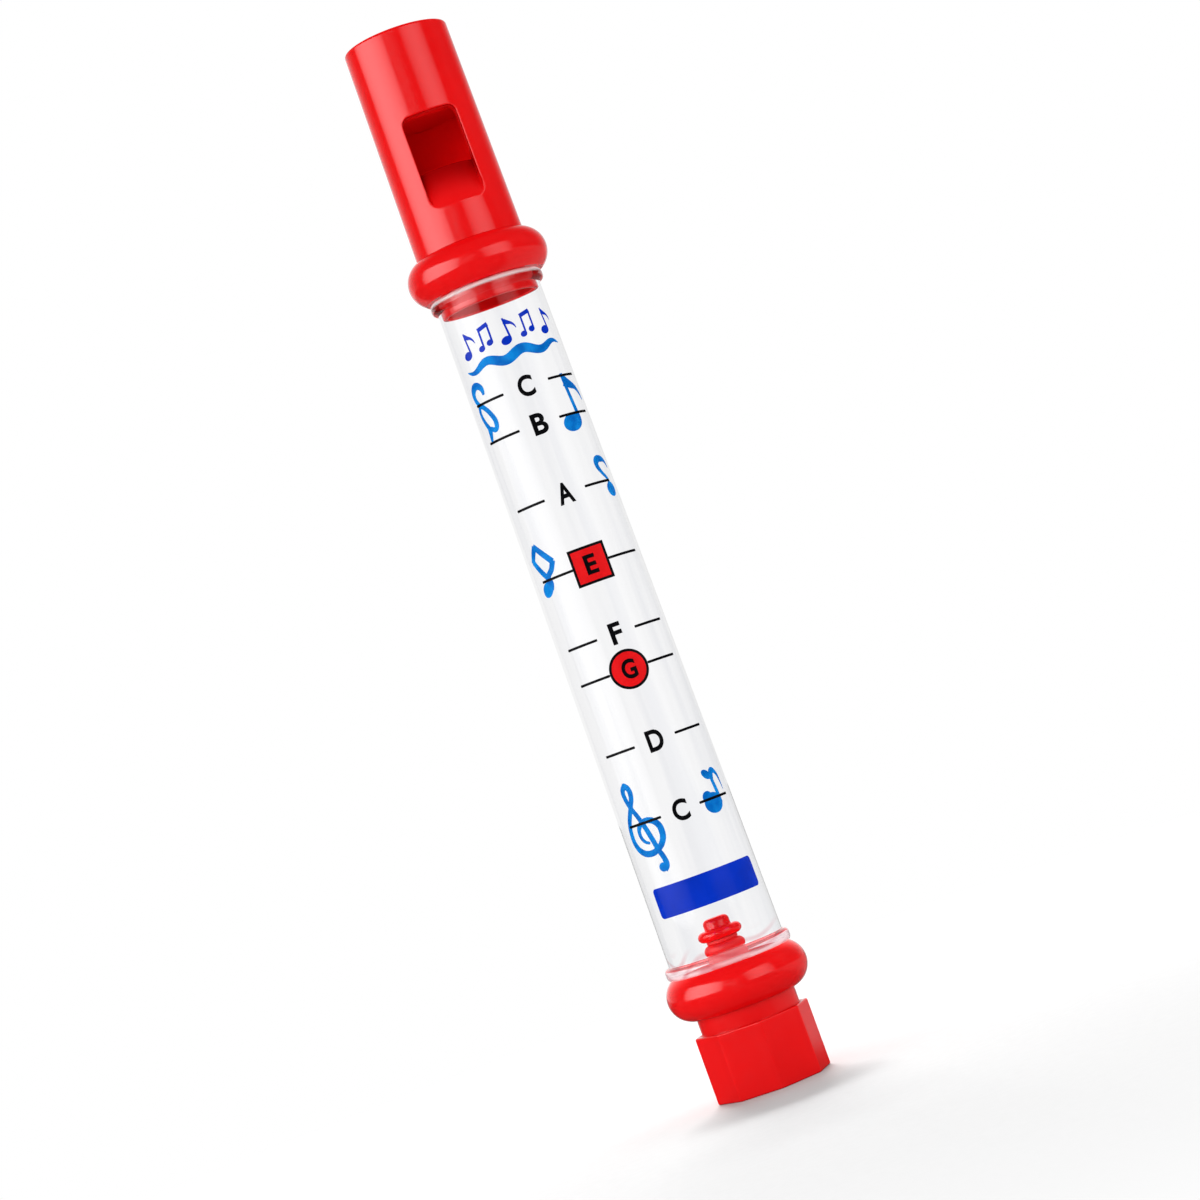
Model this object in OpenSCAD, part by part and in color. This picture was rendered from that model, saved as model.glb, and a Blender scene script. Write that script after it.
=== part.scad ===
// Bath flute: a clear tube that is filled with water to a printed line, a whistle
// mouthpiece on top, and a screw tap at the foot that lets water out to tune it.
// Millimetres. +Z runs up the flute from the foot of the tap knob. The whistle's
// window faces -Y.

/* [Tube] */
// Length of tube that shows between the two collars
tube_len = 130.5; // [100:0.5:170]
// Outside diameter of the tube at the lower collar
tube_low_d = 21.7; // [21:0.1:23]
// Outside diameter of the tube at the upper collar
tube_top_d = 19.55; // [19:0.05:20.5]
// Wall thickness of the tube
tube_wall = 1.5; // [1.2:0.1:1.7]
// Height of the bead round each end of the tube
bead_h = 2.3; // [1.8:0.1:3]
// How far a bead stands out from the tube
bead_out = 1; // [0.7:0.05:1.4]
// Rounding of a bead's outer edges
bead_round = 0.8; // [0.3:0.05:0.85]
// Length of tube beyond each bead, hidden in the collar
tube_tail = 5; // [3.5:0.1:5.5]

/* [Collar rings] */
// Height of each collar ring, which is the thickness of its round section
ring_h = 8.9; // [8.2:0.1:9.6]
// How far the rings stand out past the lower end of the tube
ring_out = 2.45; // [2:0.05:3]
// Width of the flat land on a ring that a bead sits on
seat_w = 0.35; // [0.2:0.05:0.7]
// Thickness of the sealing gasket at each end of the tube
gasket_t = 0.8; // [0.5:0.1:1.2]

/* [Mouthpiece] */
// Length of the barrel above the middle of its ring
barrel_len = 44.9; // [40:0.1:60]
// Outside diameter of the barrel at the mouth end
barrel_top_d = 19.65; // [19:0.05:20.5]
// Outside diameter of the barrel at its ring
barrel_low_d = 20.5; // [20:0.05:21.5]
// Diameter of the barrel's bore
bore_d = 14.4; // [13.4:0.1:14.6]
// How far the skirt inside the tube reaches past the seat of the bead
skirt_len = 3.4; // [2:0.1:8]
// Rounding of the barrel's edge at the mouth end
rim_round = 0.6; // [0.3:0.1:0.9]

/* [Whistle] */
// Width of the window
window_w = 10.4; // [8.6:0.1:12]
// Height of the window
window_h = 17.7; // [14:0.1:20]
// Distance from the mouth end to the window's upper edge
window_drop = 16.35; // [12:0.05:20]
// Rounding of the window's corners
window_round = 1.4; // [0.6:0.1:2.4]
// Height of the sloping lip at the foot of the window
lip_h = 7.5; // [5:0.1:9]
// Width of the windway
windway_w = 8; // [6:0.1:8.4]
// Height of the windway
windway_h = 1.1; // [0.8:0.05:1.5]
// How far the windway's roof is let into the barrel wall
windway_rise = 0.5; // [0.2:0.05:0.8]
// Chamfer on the block where the air leaves the windway
block_chamfer = 0.5; // [0.2:0.1:0.8]
// Width of the key that lines the block up with the window
key_w = 1.8; // [1.2:0.1:3]
// Height of that key
key_h = 0.7; // [0.4:0.1:1]

/* [Tap body] */
// Diameter of the neck that shows between the ring and the knob
neck_d = 18.7; // [18.3:0.1:19]
// Length of neck that shows
neck_gap = 2.95; // [2.5:0.05:5]
// Length of neck inside the knob when the tap is shut
neck_in = 2.2; // [1.5:0.1:3]
// Diameter of the neck's lower part, which carries the screw thread
thread_d = 16.6; // [16:0.1:17]
// Diameter of the drain chamber inside the neck
chamber_d = 14; // [12.5:0.1:14.4]
// Depth of the floor of the tube below the seat of the lower bead
floor_drop = 1.2; // [0.6:0.1:2]
// Thickness of that floor
floor_t = 2.2; // [1.6:0.1:3]
// Height of the boss in the floor, which the valve shuts against, above that seat
boss_rise = 1.5; // [0.5:0.1:4]
// Diameter of the boss
boss_d = 6.8; // [6.4:0.1:8]
// Diameter of the drain port in the boss
port_d = 5.2; // [4.8:0.1:5.6]

/* [Tap knob] */
// Width of the knob across its flats
knob_flats = 20.2; // [20:0.1:24]
// Height of the knob
knob_h = 12.6; // [11.6:0.1:16]
// Rounding of the knob's upright edges
knob_round = 0.6; // [0.2:0.1:1.5]
// Thickness of the knob's end wall
knob_end_t = 2.2; // [1.8:0.1:2.6]
// Diameter of the hub that turns on the stem
hub_d = 8; // [7.2:0.1:9]
// Height of the hub's top above the foot of the knob
hub_h = 6; // [5:0.1:7]
// Diameter of the recess under the hub
recess_d = 6.2; // [5.6:0.1:6.8]
// Depth of that recess
recess_h = 1.6; // [1.2:0.1:1.7]
// Diameter of each drain hole in the end wall
drain_d = 2.6; // [1.6:0.1:3]
// Number of drain holes
drain_n = 4; // [3:1:8]

/* [Valve] */
// How far the valve lifts between shut and fully open
lift = 2; // [1:0.1:2.3]
// Diameter of the stem
stem_d = 3.7; // [3.2:0.1:4]
// Thickness of the four wings that guide the stem in the port
wing_t = 1; // [0.7:0.1:1.4]
// Length of the wings
wing_h = 5.6; // [4:0.1:7]
// Diameter of the rubber seal
seal_d = 6.9; // [6.5:0.1:7.6]
// Height of the rubber seal
seal_h = 2.9; // [2.4:0.1:3.4]
// Diameter of the head above the seal
head_d = 7.4; // [6.6:0.1:8]
// Height of the head
head_h = 3.9; // [3.4:0.1:4.6]
// Diameter of the crown on top of the head
crown_d = 4.4; // [3.6:0.1:5]
// Rounding of the crown
crown_round = 0.9; // [0.4:0.1:1.4]

/* [Fits] */
// Gap on each side of a bonded joint
glue_fit = 0.05; // [0.02:0.01:0.08]
// Gap on each side of a turning or sliding joint
run_fit = 0.1; // [0.05:0.01:0.15]
// Gap on each side of the knob's screw
screw_fit = 0.15; // [0.1:0.01:0.2]
// Clear space left at the end of the valve's travel
end_gap = 0.4; // [0.2:0.05:0.6]

/* [Hidden] */
$fn = 128;

red = "#e31118";
clear = [0.86, 0.9, 0.94, 0.35];
rubber = "#d01016";
silicone = "#e9e9e4";

eps = 0.01;
far = 40;
knob_sides = 8;

// Collar rings and the seats of the beads, from the foot upwards
ring_r = ring_h / 2;
ring_c = tube_low_d / 2 + ring_out - ring_r;
seat_rise = sqrt(pow(ring_r, 2) - pow(ring_r - ring_out + glue_fit + seat_w, 2));
ring_low_z = knob_h + neck_gap + ring_r;
seat_low = ring_low_z + seat_rise;
seat_top = seat_low + tube_len;
ring_top_z = seat_top + seat_rise;
mouth_z = ring_top_z + barrel_len;

// Grooves that take the ends of the tube
groove_low = seat_low - tube_tail - gasket_t;
groove_top = seat_top + tube_tail + gasket_t;

// Whistle
bore_r = bore_d / 2;
window_top = mouth_z - window_drop;
window_low = window_top - window_h;
roof_r = bore_r + windway_rise;
way_floor_r = roof_r - windway_h;

// Tap
floor_z = seat_low - floor_drop;
boss_z = seat_low + boss_rise;
neck_step = knob_h - neck_in;
neck_low = knob_end_t + lift + end_gap;
knob_step = neck_step - lift - end_gap;
stem_r = stem_d / 2;
shoulder_r = stem_r + 0.75;
snap_r = stem_r + 0.5;
seal_top = boss_z + seal_h;
head_top = seal_top + glue_fit + head_h;

// Outside and inside radius of the tapered tube at a height
function tube_r(z) = tube_low_d / 2 + (z - seat_low) * (tube_top_d - tube_low_d) / 2 / tube_len;
function tube_in(z) = tube_r(z) - tube_wall;
// Outside radius of the barrel at a height
function barrel_r(z) = barrel_low_d / 2 + (z - ring_top_z) * (barrel_top_d - barrel_low_d) / 2 / barrel_len;

// A rectangle between two corners
module span(x0, y0, x1, y1) {
    translate([x0, y0]) square([x1 - x0, y1 - y0]);
}

// A rectangle with rounded corners between two corners
module round_span(x0, y0, x1, y1, r) {
    span(x0 + r, y0, x1 - r, y1);
    span(x0, y0 + r, x1, y1 - r);
    for (x = [x0 + r, x1 - r], y = [y0 + r, y1 - r])
        translate([x, y]) circle(r);
}

// A regular polygon with rounded corners, one of them on the -Y axis
module round_polygon(sides, flats, r) {
    inner = (flats / 2 - r) / cos(180 / sides);
    corners = [for (k = [0 : sides - 1]) -90 + k * 360 / sides];
    polygon([for (a = corners, side = [-1, 1])
        inner * [cos(a), sin(a)] + r * [cos(a + side * 180 / sides), sin(a + side * 180 / sides)]]);
    for (a = corners)
        translate(inner * [cos(a), sin(a)]) circle(r);
}

// Section of the wall between the tube's inside and outside, grown by a fit on each side
module tube_wall_section(z0, z1, fit) {
    polygon([[tube_in(z0) - fit, z0], [tube_r(z0) + fit, z0],
             [tube_r(z1) + fit, z1], [tube_in(z1) - fit, z1]]);
}

// Section of a bead whose seat is at z; up is 1 where the bead rises from it, -1 where it hangs
module bead_section(z, up) {
    z0 = up > 0 ? z : z - bead_h;
    outer = tube_r(z) + bead_out;
    inner = tube_r(z) - tube_wall / 2;
    intersection() {
        round_span(inner - bead_round, z0, outer, z0 + bead_h, bead_round);
        span(inner, z0, outer, z0 + bead_h);
    }
}

// Part of the windway that lies in front of a radius, as high as the block
module windway_slot(z0, z1) {
    translate([-windway_w / 2, -far, z0]) cube([windway_w, far, z1 - z0]);
}

module key(fit) {
    translate([-key_w / 2 - fit, 0, window_top - fit])
        cube([key_w + 2 * fit, bore_r + key_h + fit, window_drop + 2 * fit]);
}

// Space that the window and its sloping lip take out of the barrel
module window_cut() {
    lip_top = window_low + lip_h;
    intersection() {
        rotate([90, 0, 0]) linear_extrude(far)
            round_span(-window_w / 2, window_low, window_w / 2, window_top, window_round);
        rotate_extrude()
            polygon([[barrel_r(window_low), window_low], [bore_r - eps, lip_top],
                     [bore_r - eps, window_top + eps], [far, window_top + eps], [far, window_low]]);
    }
}

module mouthpiece_section() {
    rim = barrel_r(mouth_z) - rim_round;
    difference() {
        union() {
            polygon([[0, ring_top_z], [barrel_low_d / 2, ring_top_z],
                     [barrel_r(mouth_z - rim_round), mouth_z - rim_round], [rim, mouth_z - rim_round],
                     [rim, mouth_z], [0, mouth_z]]);
            translate([rim, mouth_z - rim_round]) circle(rim_round);
            translate([ring_c, ring_top_z]) circle(ring_r);
            span(0, seat_top, ring_c, ring_top_z);
            polygon([[0, seat_top - skirt_len],
                     [tube_in(seat_top - skirt_len) - glue_fit, seat_top - skirt_len],
                     [tube_in(groove_top) - glue_fit, groove_top], [0, groove_top]]);
        }
        span(0, 0, bore_r, mouth_z + eps);
        tube_wall_section(seat_top - skirt_len - eps, groove_top, glue_fit);
        span(tube_in(seat_top), 0, far, seat_top);
    }
}

module mouthpiece() {
    color(red) difference() {
        rotate_extrude() mouthpiece_section();
        window_cut();
        intersection() {
            translate([0, 0, window_top - eps]) cylinder(r = roof_r, h = window_drop + 2 * eps);
            windway_slot(window_top - eps, mouth_z + eps);
        }
        key(glue_fit);
    }
}

module fipple_block() {
    color(red) difference() {
        union() {
            translate([0, 0, window_top]) cylinder(r = bore_r - glue_fit, h = window_drop);
            key(0);
        }
        intersection() {
            rotate_extrude()
                polygon([[way_floor_r - block_chamfer, window_top - eps],
                         [way_floor_r - block_chamfer, window_top],
                         [way_floor_r, window_top + block_chamfer],
                         [way_floor_r, mouth_z + eps], [far, mouth_z + eps], [far, window_top - eps]]);
            windway_slot(window_top - eps, mouth_z + eps);
        }
    }
}

module tube() {
    color(clear) rotate_extrude() {
        tube_wall_section(seat_low - tube_tail, seat_top + tube_tail, 0);
        bead_section(seat_low, 1);
        bead_section(seat_top, -1);
    }
}

// Flat ring against the end of the tube, filling its groove from z0 to z1
module gasket(z0, z1) {
    color(silicone) rotate_extrude() tube_wall_section(z0, z1, 0);
}

module upper_gasket() {
    gasket(seat_top + tube_tail, groove_top);
}

module lower_gasket() {
    gasket(groove_low, seat_low - tube_tail);
}

module end_collar_section() {
    difference() {
        union() {
            translate([ring_c, ring_low_z]) circle(ring_r);
            span(0, neck_step, neck_d / 2, ring_low_z);
            span(0, neck_low, thread_d / 2, neck_step + eps);
            span(0, ring_low_z - eps, ring_c, seat_low);
            span(0, ring_low_z - eps, boss_d / 2, boss_z);
        }
        tube_wall_section(groove_low, seat_low + eps, glue_fit);
        span(boss_d / 2, floor_z, tube_in(seat_low), far);
        span(tube_in(seat_low), seat_low, far, far);
        span(0, 0, chamber_d / 2, floor_z - floor_t);
        span(0, 0, port_d / 2, far);
    }
}

module end_collar() {
    color(red) rotate_extrude() end_collar_section();
}

// Stem: a snap bead under the hub, a shoulder on top of it, then the rod and its head
module valve_stem() {
    snap_top = recess_h - glue_fit;
    shoulder_z = hub_h + glue_fit;
    head_z = seal_top + glue_fit;
    rim = head_h / 4;
    color(red) {
        rotate_extrude() {
            polygon([[0, snap_top - 1.2], [stem_r - 0.4, snap_top - 1.2], [snap_r, snap_top - 0.5],
                     [snap_r, snap_top], [stem_r, snap_top], [stem_r, shoulder_z],
                     [shoulder_r, shoulder_z], [shoulder_r, shoulder_z + 0.8], [stem_r, shoulder_z + 1.5],
                     [stem_r, head_z], [head_d / 2 - rim, head_z], [head_d / 2 - rim, head_z + 2 * rim],
                     [crown_d / 2, head_z + 2 * rim], [crown_d / 2, head_top - crown_round],
                     [crown_d / 2 - crown_round, head_top], [0, head_top]]);
            translate([head_d / 2 - rim, head_z + rim]) circle(rim);
            translate([crown_d / 2 - crown_round, head_top - crown_round]) circle(crown_round);
        }
        intersection() {
            translate([0, 0, boss_z - glue_fit - wing_h]) cylinder(d = port_d - 2 * run_fit, h = wing_h);
            for (turn = [45, 135])
                rotate([0, 0, turn]) translate([-far / 2, -wing_t / 2, 0]) cube([far, wing_t, boss_z]);
        }
    }
}

module valve_seal() {
    bulge = seal_h * 0.4;
    color(rubber) rotate_extrude() difference() {
        union() {
            span(0, boss_z, seal_d / 2 - bulge / 2, boss_z + bulge);
            translate([seal_d / 2 - bulge, boss_z + bulge + eps]) circle(bulge);
            span(0, boss_z, shoulder_r, seal_top);
        }
        span(0, boss_z - eps, stem_r + glue_fit, seal_top + eps);
        span(0, boss_z - far, far, boss_z);
    }
}

module tap_knob() {
    drain_pitch_r = (hub_d + thread_d) / 4 + screw_fit / 2;
    color(red) difference() {
        union() {
            difference() {
                linear_extrude(knob_h) round_polygon(knob_sides, knob_flats, knob_round);
                translate([0, 0, knob_end_t]) cylinder(d = thread_d + 2 * screw_fit, h = knob_h);
                translate([0, 0, knob_step]) cylinder(d = neck_d + 2 * screw_fit, h = knob_h);
            }
            cylinder(d = hub_d, h = hub_h);
        }
        translate([0, 0, -eps]) cylinder(d = recess_d, h = recess_h + eps);
        cylinder(d = stem_d + 2 * glue_fit, h = hub_h + eps);
        for (k = [0 : drain_n - 1])
            rotate([0, 0, k * 360 / drain_n]) translate([drain_pitch_r, 0, -eps])
                cylinder(d = drain_d, h = knob_end_t + 2 * eps);
    }
}

mouthpiece();
fipple_block();
upper_gasket();
tube();
lower_gasket();
end_collar();
valve_stem();
valve_seal();
tap_knob();
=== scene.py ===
import math

import bpy
from mathutils import Matrix, Vector


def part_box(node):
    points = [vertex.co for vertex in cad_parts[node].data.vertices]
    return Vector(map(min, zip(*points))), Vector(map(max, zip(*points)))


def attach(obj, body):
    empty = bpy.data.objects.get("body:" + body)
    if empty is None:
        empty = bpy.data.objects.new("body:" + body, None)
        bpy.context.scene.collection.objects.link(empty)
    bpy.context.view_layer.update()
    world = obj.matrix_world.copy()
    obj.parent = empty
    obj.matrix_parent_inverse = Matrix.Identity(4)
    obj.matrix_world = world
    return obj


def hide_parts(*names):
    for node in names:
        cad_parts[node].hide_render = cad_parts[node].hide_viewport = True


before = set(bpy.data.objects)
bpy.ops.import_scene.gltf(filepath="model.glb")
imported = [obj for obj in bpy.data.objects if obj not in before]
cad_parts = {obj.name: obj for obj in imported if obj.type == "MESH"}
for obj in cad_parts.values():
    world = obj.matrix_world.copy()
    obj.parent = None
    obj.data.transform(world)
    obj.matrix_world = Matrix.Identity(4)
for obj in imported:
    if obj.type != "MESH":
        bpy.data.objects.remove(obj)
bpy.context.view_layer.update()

bl_info = {
    "name": "Bath flute",
    "version": (1, 0, 0),
    "blender": (4, 5, 0),
    "location": "View3D > Sidebar > Bath flute",
    "description": "Models a bath flute: whistle, clear tube, drain tap and printed scale",
    "category": "Object",
}

MM = 0.001

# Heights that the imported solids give
MOUTH_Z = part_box("mouthpiece")[1].z
SKIRT_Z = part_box("mouthpiece")[0].z
WINDOW_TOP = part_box("fipple_block")[0].z
TUBE_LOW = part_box("tube")[0].z
TUBE_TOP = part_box("tube")[1].z
BOSS_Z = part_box("valve_seal")[0].z
SEAL_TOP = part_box("valve_seal")[1].z
HEAD_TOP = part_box("valve_stem")[1].z
STEM_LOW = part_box("valve_stem")[0].z
NECK_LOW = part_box("end_collar")[0].z
KNOB_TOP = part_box("tap_knob")[1].z
RING_OUT_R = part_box("end_collar")[1].x

# Both tails of the tube are hidden in the collars
TAIL = 5 * MM
SEAT_LOW = TUBE_LOW + TAIL
SEAT_TOP = TUBE_TOP - TAIL
GASKET = 0.8 * MM
GROOVE_LOW = TUBE_LOW - GASKET
GROOVE_TOP = TUBE_TOP + GASKET
# Gaps to each side: of cemented and pressed parts, and of the screw
GLUE_FIT = 0.05 * MM
PLAY = 0.15 * MM
# A bead's seat ends at this radius on its ring
SEAT_R = 11.25 * MM
# The key at the back of the block stands out this far
KEY_OUT = 0.7 * MM

# Points closer than the first are one, and heights or radii closer than the second are the same
MERGE = 1e-7
SAME = 1e-6

# Turned pieces have this many columns, and the bore fewer, so that the window's side walls run
# parallel when it takes as many columns of either. The windway and the key are columns of the bore.
COLUMNS = 128
BORE_COLUMNS = 88
WINDOW_COLUMNS = 11
WINDWAY_COLUMNS = 8
KEY_COLUMNS = 2
WINDOW_ROWS = 18

# The scale faces a little to the left of the front
PRINT_TURN = -2.0
# Heights of the eight note lines in mm, from the top, and which two carry badges
NOTE_LINES = (133.4, 126.2, 112.85, 99.3, 86.1, 79.3, 65.8, 52.55)
SQUARE_LINE = 3
CIRCLE_LINE = 5
# Ink lies this far off the tube, is this thick, and each layer lies this much further out
INK_GAP = 0.012 * MM
INK_FILM = 0.016 * MM
INK_LAYER = 0.02 * MM


def linear(code):
    """Linear colour of an sRGB hex value, as a tuple of three."""
    parts = [int(code[i:i + 2], 16) / 255 for i in (1, 3, 5)]
    return tuple(p / 12.92 if p <= 0.04045 else ((p + 0.055) / 1.055) ** 2.4 for p in parts)


def length(name, about, default):
    """A length that a user would change, given in millimetres."""
    return bpy.props.FloatProperty(name=name, description=about, default=default * MM, min=0,
                                   unit="LENGTH", precision=5)


def colour(name, about, code):
    """A colour that a user would change, given as sRGB hex."""
    return bpy.props.FloatVectorProperty(name=name, description=about, default=linear(code),
                                         size=3, min=0, max=1, subtype="COLOR")


class FluteSizes(bpy.types.PropertyGroup):
    """Sizes of the flute's pieces and of its printed scale."""

    tube_low_d: length("Tube, low end", "Outside diameter of the tube at the lower collar", 21.7)
    tube_top_d: length("Tube, top end", "Outside diameter of the tube at the upper collar", 19.55)
    tube_wall: length("Tube wall", "Wall thickness of the tube", 1.5)
    bead_h: length("Bead height", "Height of the bead round each end of the tube", 2.3)
    bead_out: length("Bead depth", "How far a bead stands out from the tube", 1.0)
    bead_round: length("Bead rounding", "Rounding of a bead's outer edges", 0.8)
    ring_r: length("Ring section", "Radius of the collar rings' round section", 4.45)
    barrel_low_d: length("Barrel, low end", "Outside diameter of the barrel at its ring", 20.5)
    barrel_top_d: length("Barrel, mouth end", "Outside diameter of the barrel at the mouth", 19.65)
    bore_d: length("Bore", "Diameter of the barrel's bore", 14.4)
    rim_round: length("Mouth rounding", "Rounding of the barrel's edge at the mouth", 0.6)
    window_h: length("Window height", "Height of the whistle's window", 17.7)
    window_round: length("Window corners", "Rounding of the window's corners", 1.5)
    window_edge: length("Window edge", "Rounding of the edge round the window", 0.28)
    lip_h: length("Lip height", "Height of the sloping lip at the foot of the window", 7.5)
    windway_rise: length("Windway rise", "How far the windway is let into the barrel wall", 0.5)
    windway_h: length("Windway height", "Height of the windway between its roof and the block", 1.1)
    neck_d: length("Neck", "Diameter of the neck between the ring and the knob", 18.7)
    thread_d: length("Screw", "Diameter of the neck's part inside the knob", 16.6)
    chamber_d: length("Drain chamber", "Diameter of the chamber inside the neck", 14.0)
    floor_drop: length("Floor", "Depth of the tube's floor below the seat of the lower bead", 1.2)
    boss_d: length("Boss", "Diameter of the boss in the floor that the valve shuts against", 6.8)
    port_d: length("Port", "Diameter of the drain port in the boss", 5.2)
    knob_flats: length("Knob", "Width of the knob across its flats", 20.2)
    knob_edge: length("Knob edges", "Bevel on the knob's upright edges", 0.28)
    knob_rim: length("Knob rims", "Bevel on the knob's upper and lower edges", 0.3)
    hub_d: length("Hub", "Diameter of the knob's hub", 8.0)
    drain_d: length("Drain holes", "Diameter of each drain hole in the knob's end", 2.6)
    stem_d: length("Stem", "Diameter of the valve's stem", 3.7)
    seal_d: length("Seal", "Diameter of the valve's seal", 6.9)
    head_d: length("Valve head", "Diameter of the head above the seal", 7.4)
    crown_d: length("Valve crown", "Diameter of the crown on top of the head", 4.4)
    crown_round: length("Crown rounding", "Rounding of the crown", 0.9)
    line_w: length("Note lines", "Thickness of the printed note lines", 0.48)
    letter_h: length("Letters", "Height of the printed letters", 3.95)
    badge_side: length("Square badge", "Side of the square badge", 6.95)
    badge_r: length("Round badge", "Radius of the round badge", 3.65)
    badge_line: length("Badge outlines", "Thickness of the outlines of the badges", 0.5)
    badge_letter_h: length("Badge letters", "Height of the letters in the badges", 3.6)


class FluteColours(bpy.types.PropertyGroup):
    """Colours of the flute's plastics and inks, and the letters of its scale."""

    body: colour("Mouldings", "Colour of the mouthpiece, collar and knob", "#E60B0E")
    body_shade: colour("Mouldings, cloudy", "Darker tone in the moulded plastic", "#DC070A")
    # Painted light: the bore is a brighter red than the mouldings, to lift the shade inside the whistle
    bore: colour("Bore", "Colour of the whistle's dull bore", "#EE090C")
    # Painted shade: the lip's dark red darkens the lip towards its top edge
    lip: colour("Lip", "Colour of the whistle's lip", "#980204")
    # Painted light: the valve's red is brighter than the mouldings', to lift its shade inside the tube
    valve: colour("Valve", "Colour of the valve's head, a brighter red", "#FF1419")
    clear: colour("Tube", "Tint of the clear tube", "#FEFEFE")
    clear_streak: colour("Tube, streaks", "Tint of the streaks in the clear tube", "#EDEEF1")
    # Painted reflection: the collar's red on the lower bead and in swirls above it
    clear_blush: colour("Tube, blush", "Tint that the collar gives the lower bead", "#F3CFD4")
    # Painted light: the seal's red is made brighter, to lift its shade inside the tube
    seal: colour("Seal", "Colour of the rubber seal", "#F0181C")
    gasket: colour("Gaskets", "Colour of the silicone gaskets", "#E9E9E4")
    black: colour("Black ink", "Colour of the lines and letters", "#08080A")
    badge: colour("Badge ink", "Colour of the two badges", "#DE161A")
    bar: colour("Bar ink", "Colour of the bar at the foot of the scale", "#002EB6")
    note_pale: colour("Note ink, pale", "Lighter tone of the music notes", "#0E80D0")
    note_deep: colour("Note ink, deep", "Darker tone of the music notes", "#0460B4")
    letters: bpy.props.StringProperty(name="Letters", description="Note letters from the top line down",
                                      default="CBAEFGDC", maxlen=len(NOTE_LINES))


def sizes():
    return bpy.context.scene.flute_sizes


def colours():
    return bpy.context.scene.flute_colours


def tube_r(z):
    """Outside radius of the tapered tube at a height."""
    s = sizes()
    return s.tube_low_d / 2 + (z - SEAT_LOW) * (s.tube_top_d - s.tube_low_d) / 2 / (SEAT_TOP - SEAT_LOW)


def tube_in(z):
    """Inside radius of the tube at a height."""
    return tube_r(z) - sizes().tube_wall


def ring_top_z():
    """Height of the middle of the upper ring, which sits on the tube as the lower one does."""
    return SEAT_TOP + seat_rise()


def ring_low_z():
    """Height of the middle of the lower ring."""
    return SEAT_LOW - seat_rise()


def ring_centre_r():
    """Radius of the circle that the rings' round section follows."""
    return RING_OUT_R - sizes().ring_r


def seat_rise():
    """How far a bead's seat lies from the middle of its ring."""
    return math.sqrt(sizes().ring_r ** 2 - (SEAT_R - ring_centre_r()) ** 2)


def barrel_r(z):
    """Outside radius of the barrel at a height."""
    s = sizes()
    low = ring_top_z()
    return s.barrel_low_d / 2 + (z - low) * (s.barrel_top_d - s.barrel_low_d) / 2 / (MOUTH_Z - low)


# Materials


def add(tree, kind, fields=None, inputs=None):
    """Adds a node, sets its fields, and sets each input to a value or links it to an output. A node
    stands for its first output."""
    node = tree.nodes.new(kind)
    for field, value in (fields or {}).items():
        setattr(node, field, value)
    for name, value in (inputs or {}).items():
        if isinstance(value, bpy.types.Node):
            value = value.outputs[0]
        if isinstance(value, bpy.types.NodeSocket):
            tree.links.new(value, node.inputs[name])
        else:
            node.inputs[name].default_value = value
    return node


def blank(name):
    """A material whose nodes are cleared, its node tree, and its Object coordinates."""
    made = bpy.data.materials.new(name)
    made.use_nodes = True
    tree = made.node_tree
    tree.nodes.clear()
    place = add(tree, "ShaderNodeTexCoord").outputs["Object"]
    return made, tree, place


def moulded_abs(kind="all polished"):
    """Red ABS, injection moulded in a polished tool, and for the whistle round a dull core with painted
    shade.
    """
    # Deep even red with a wet gloss. Cooling leaves clouds a centimetre wide in the colour, a
    # faint ripple 4 mm long in the gloss, and fine scuffs that blur it by spots.
    made, tree, place = blank("Red ABS, moulded, " + kind)
    clouds = add(tree, "ShaderNodeTexNoise", {},
                 {"Vector": place, "Scale": 1 / (11 * MM), "Detail": 2})
    dark, bright = colours().body_shade, colours().body
    # The valve's brighter red is painted light, lifting its shade inside the tube
    if kind == "bright red":
        dark, bright = colours().body, colours().valve
    tone = add(tree, "ShaderNodeMix", {"data_type": "RGBA"},
               {0: clouds.outputs["Fac"], 6: (*dark, 1), 7: (*bright, 1)}).outputs[2]
    scuffs = add(tree, "ShaderNodeTexNoise", {},
                 {"Vector": place, "Scale": 1 / (1.6 * MM), "Detail": 4})
    rough = add(tree, "ShaderNodeMapRange", {},
                {"Value": scuffs.outputs["Fac"], "From Min": 0.3, "From Max": 0.7,
                 "To Min": 0.1, "To Max": 0.15})
    ripple = add(tree, "ShaderNodeTexNoise", {},
                 {"Vector": place, "Scale": 1 / (4 * MM), "Detail": 1})
    bump = add(tree, "ShaderNodeBump", {},
               {"Height": ripple.outputs["Fac"], "Strength": 0.12, "Distance": 0.04 * MM})
    gloss_tint = (1, 1, 1, 1)
    if kind == "with a dull bore":
        # A matt bore with painted shade: the lip darker towards its top edge, the bore a brighter red
        # that lifts its shade, and the gloss inside tinted red so that the shade stays deep
        deep, back, lip = whistle_depth(tree, place)
        tone = add(tree, "ShaderNodeMix", {"data_type": "RGBA"},
                   {0: back, 6: tone, 7: (*colours().bore, 1)}).outputs[2]
        tone = add(tree, "ShaderNodeMix", {"data_type": "RGBA"},
                   {0: lip, 6: tone, 7: (*colours().lip, 1)}).outputs[2]
        rough = add(tree, "ShaderNodeMix", {"data_type": "FLOAT"}, {0: back, 2: rough, 3: 0.8})
        gloss_tint = add(tree, "ShaderNodeMix", {"data_type": "RGBA"},
                         {0: deep, 6: gloss_tint, 7: (*colours().body, 1)}).outputs[2]
    skin = add(tree, "ShaderNodeBsdfPrincipled", {},
               {"Base Color": tone, "Roughness": rough, "Normal": bump, "IOR": 1.54,
                "Specular Tint": gloss_tint})
    add(tree, "ShaderNodeOutputMaterial", {}, {"Surface": skin})
    return made


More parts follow.
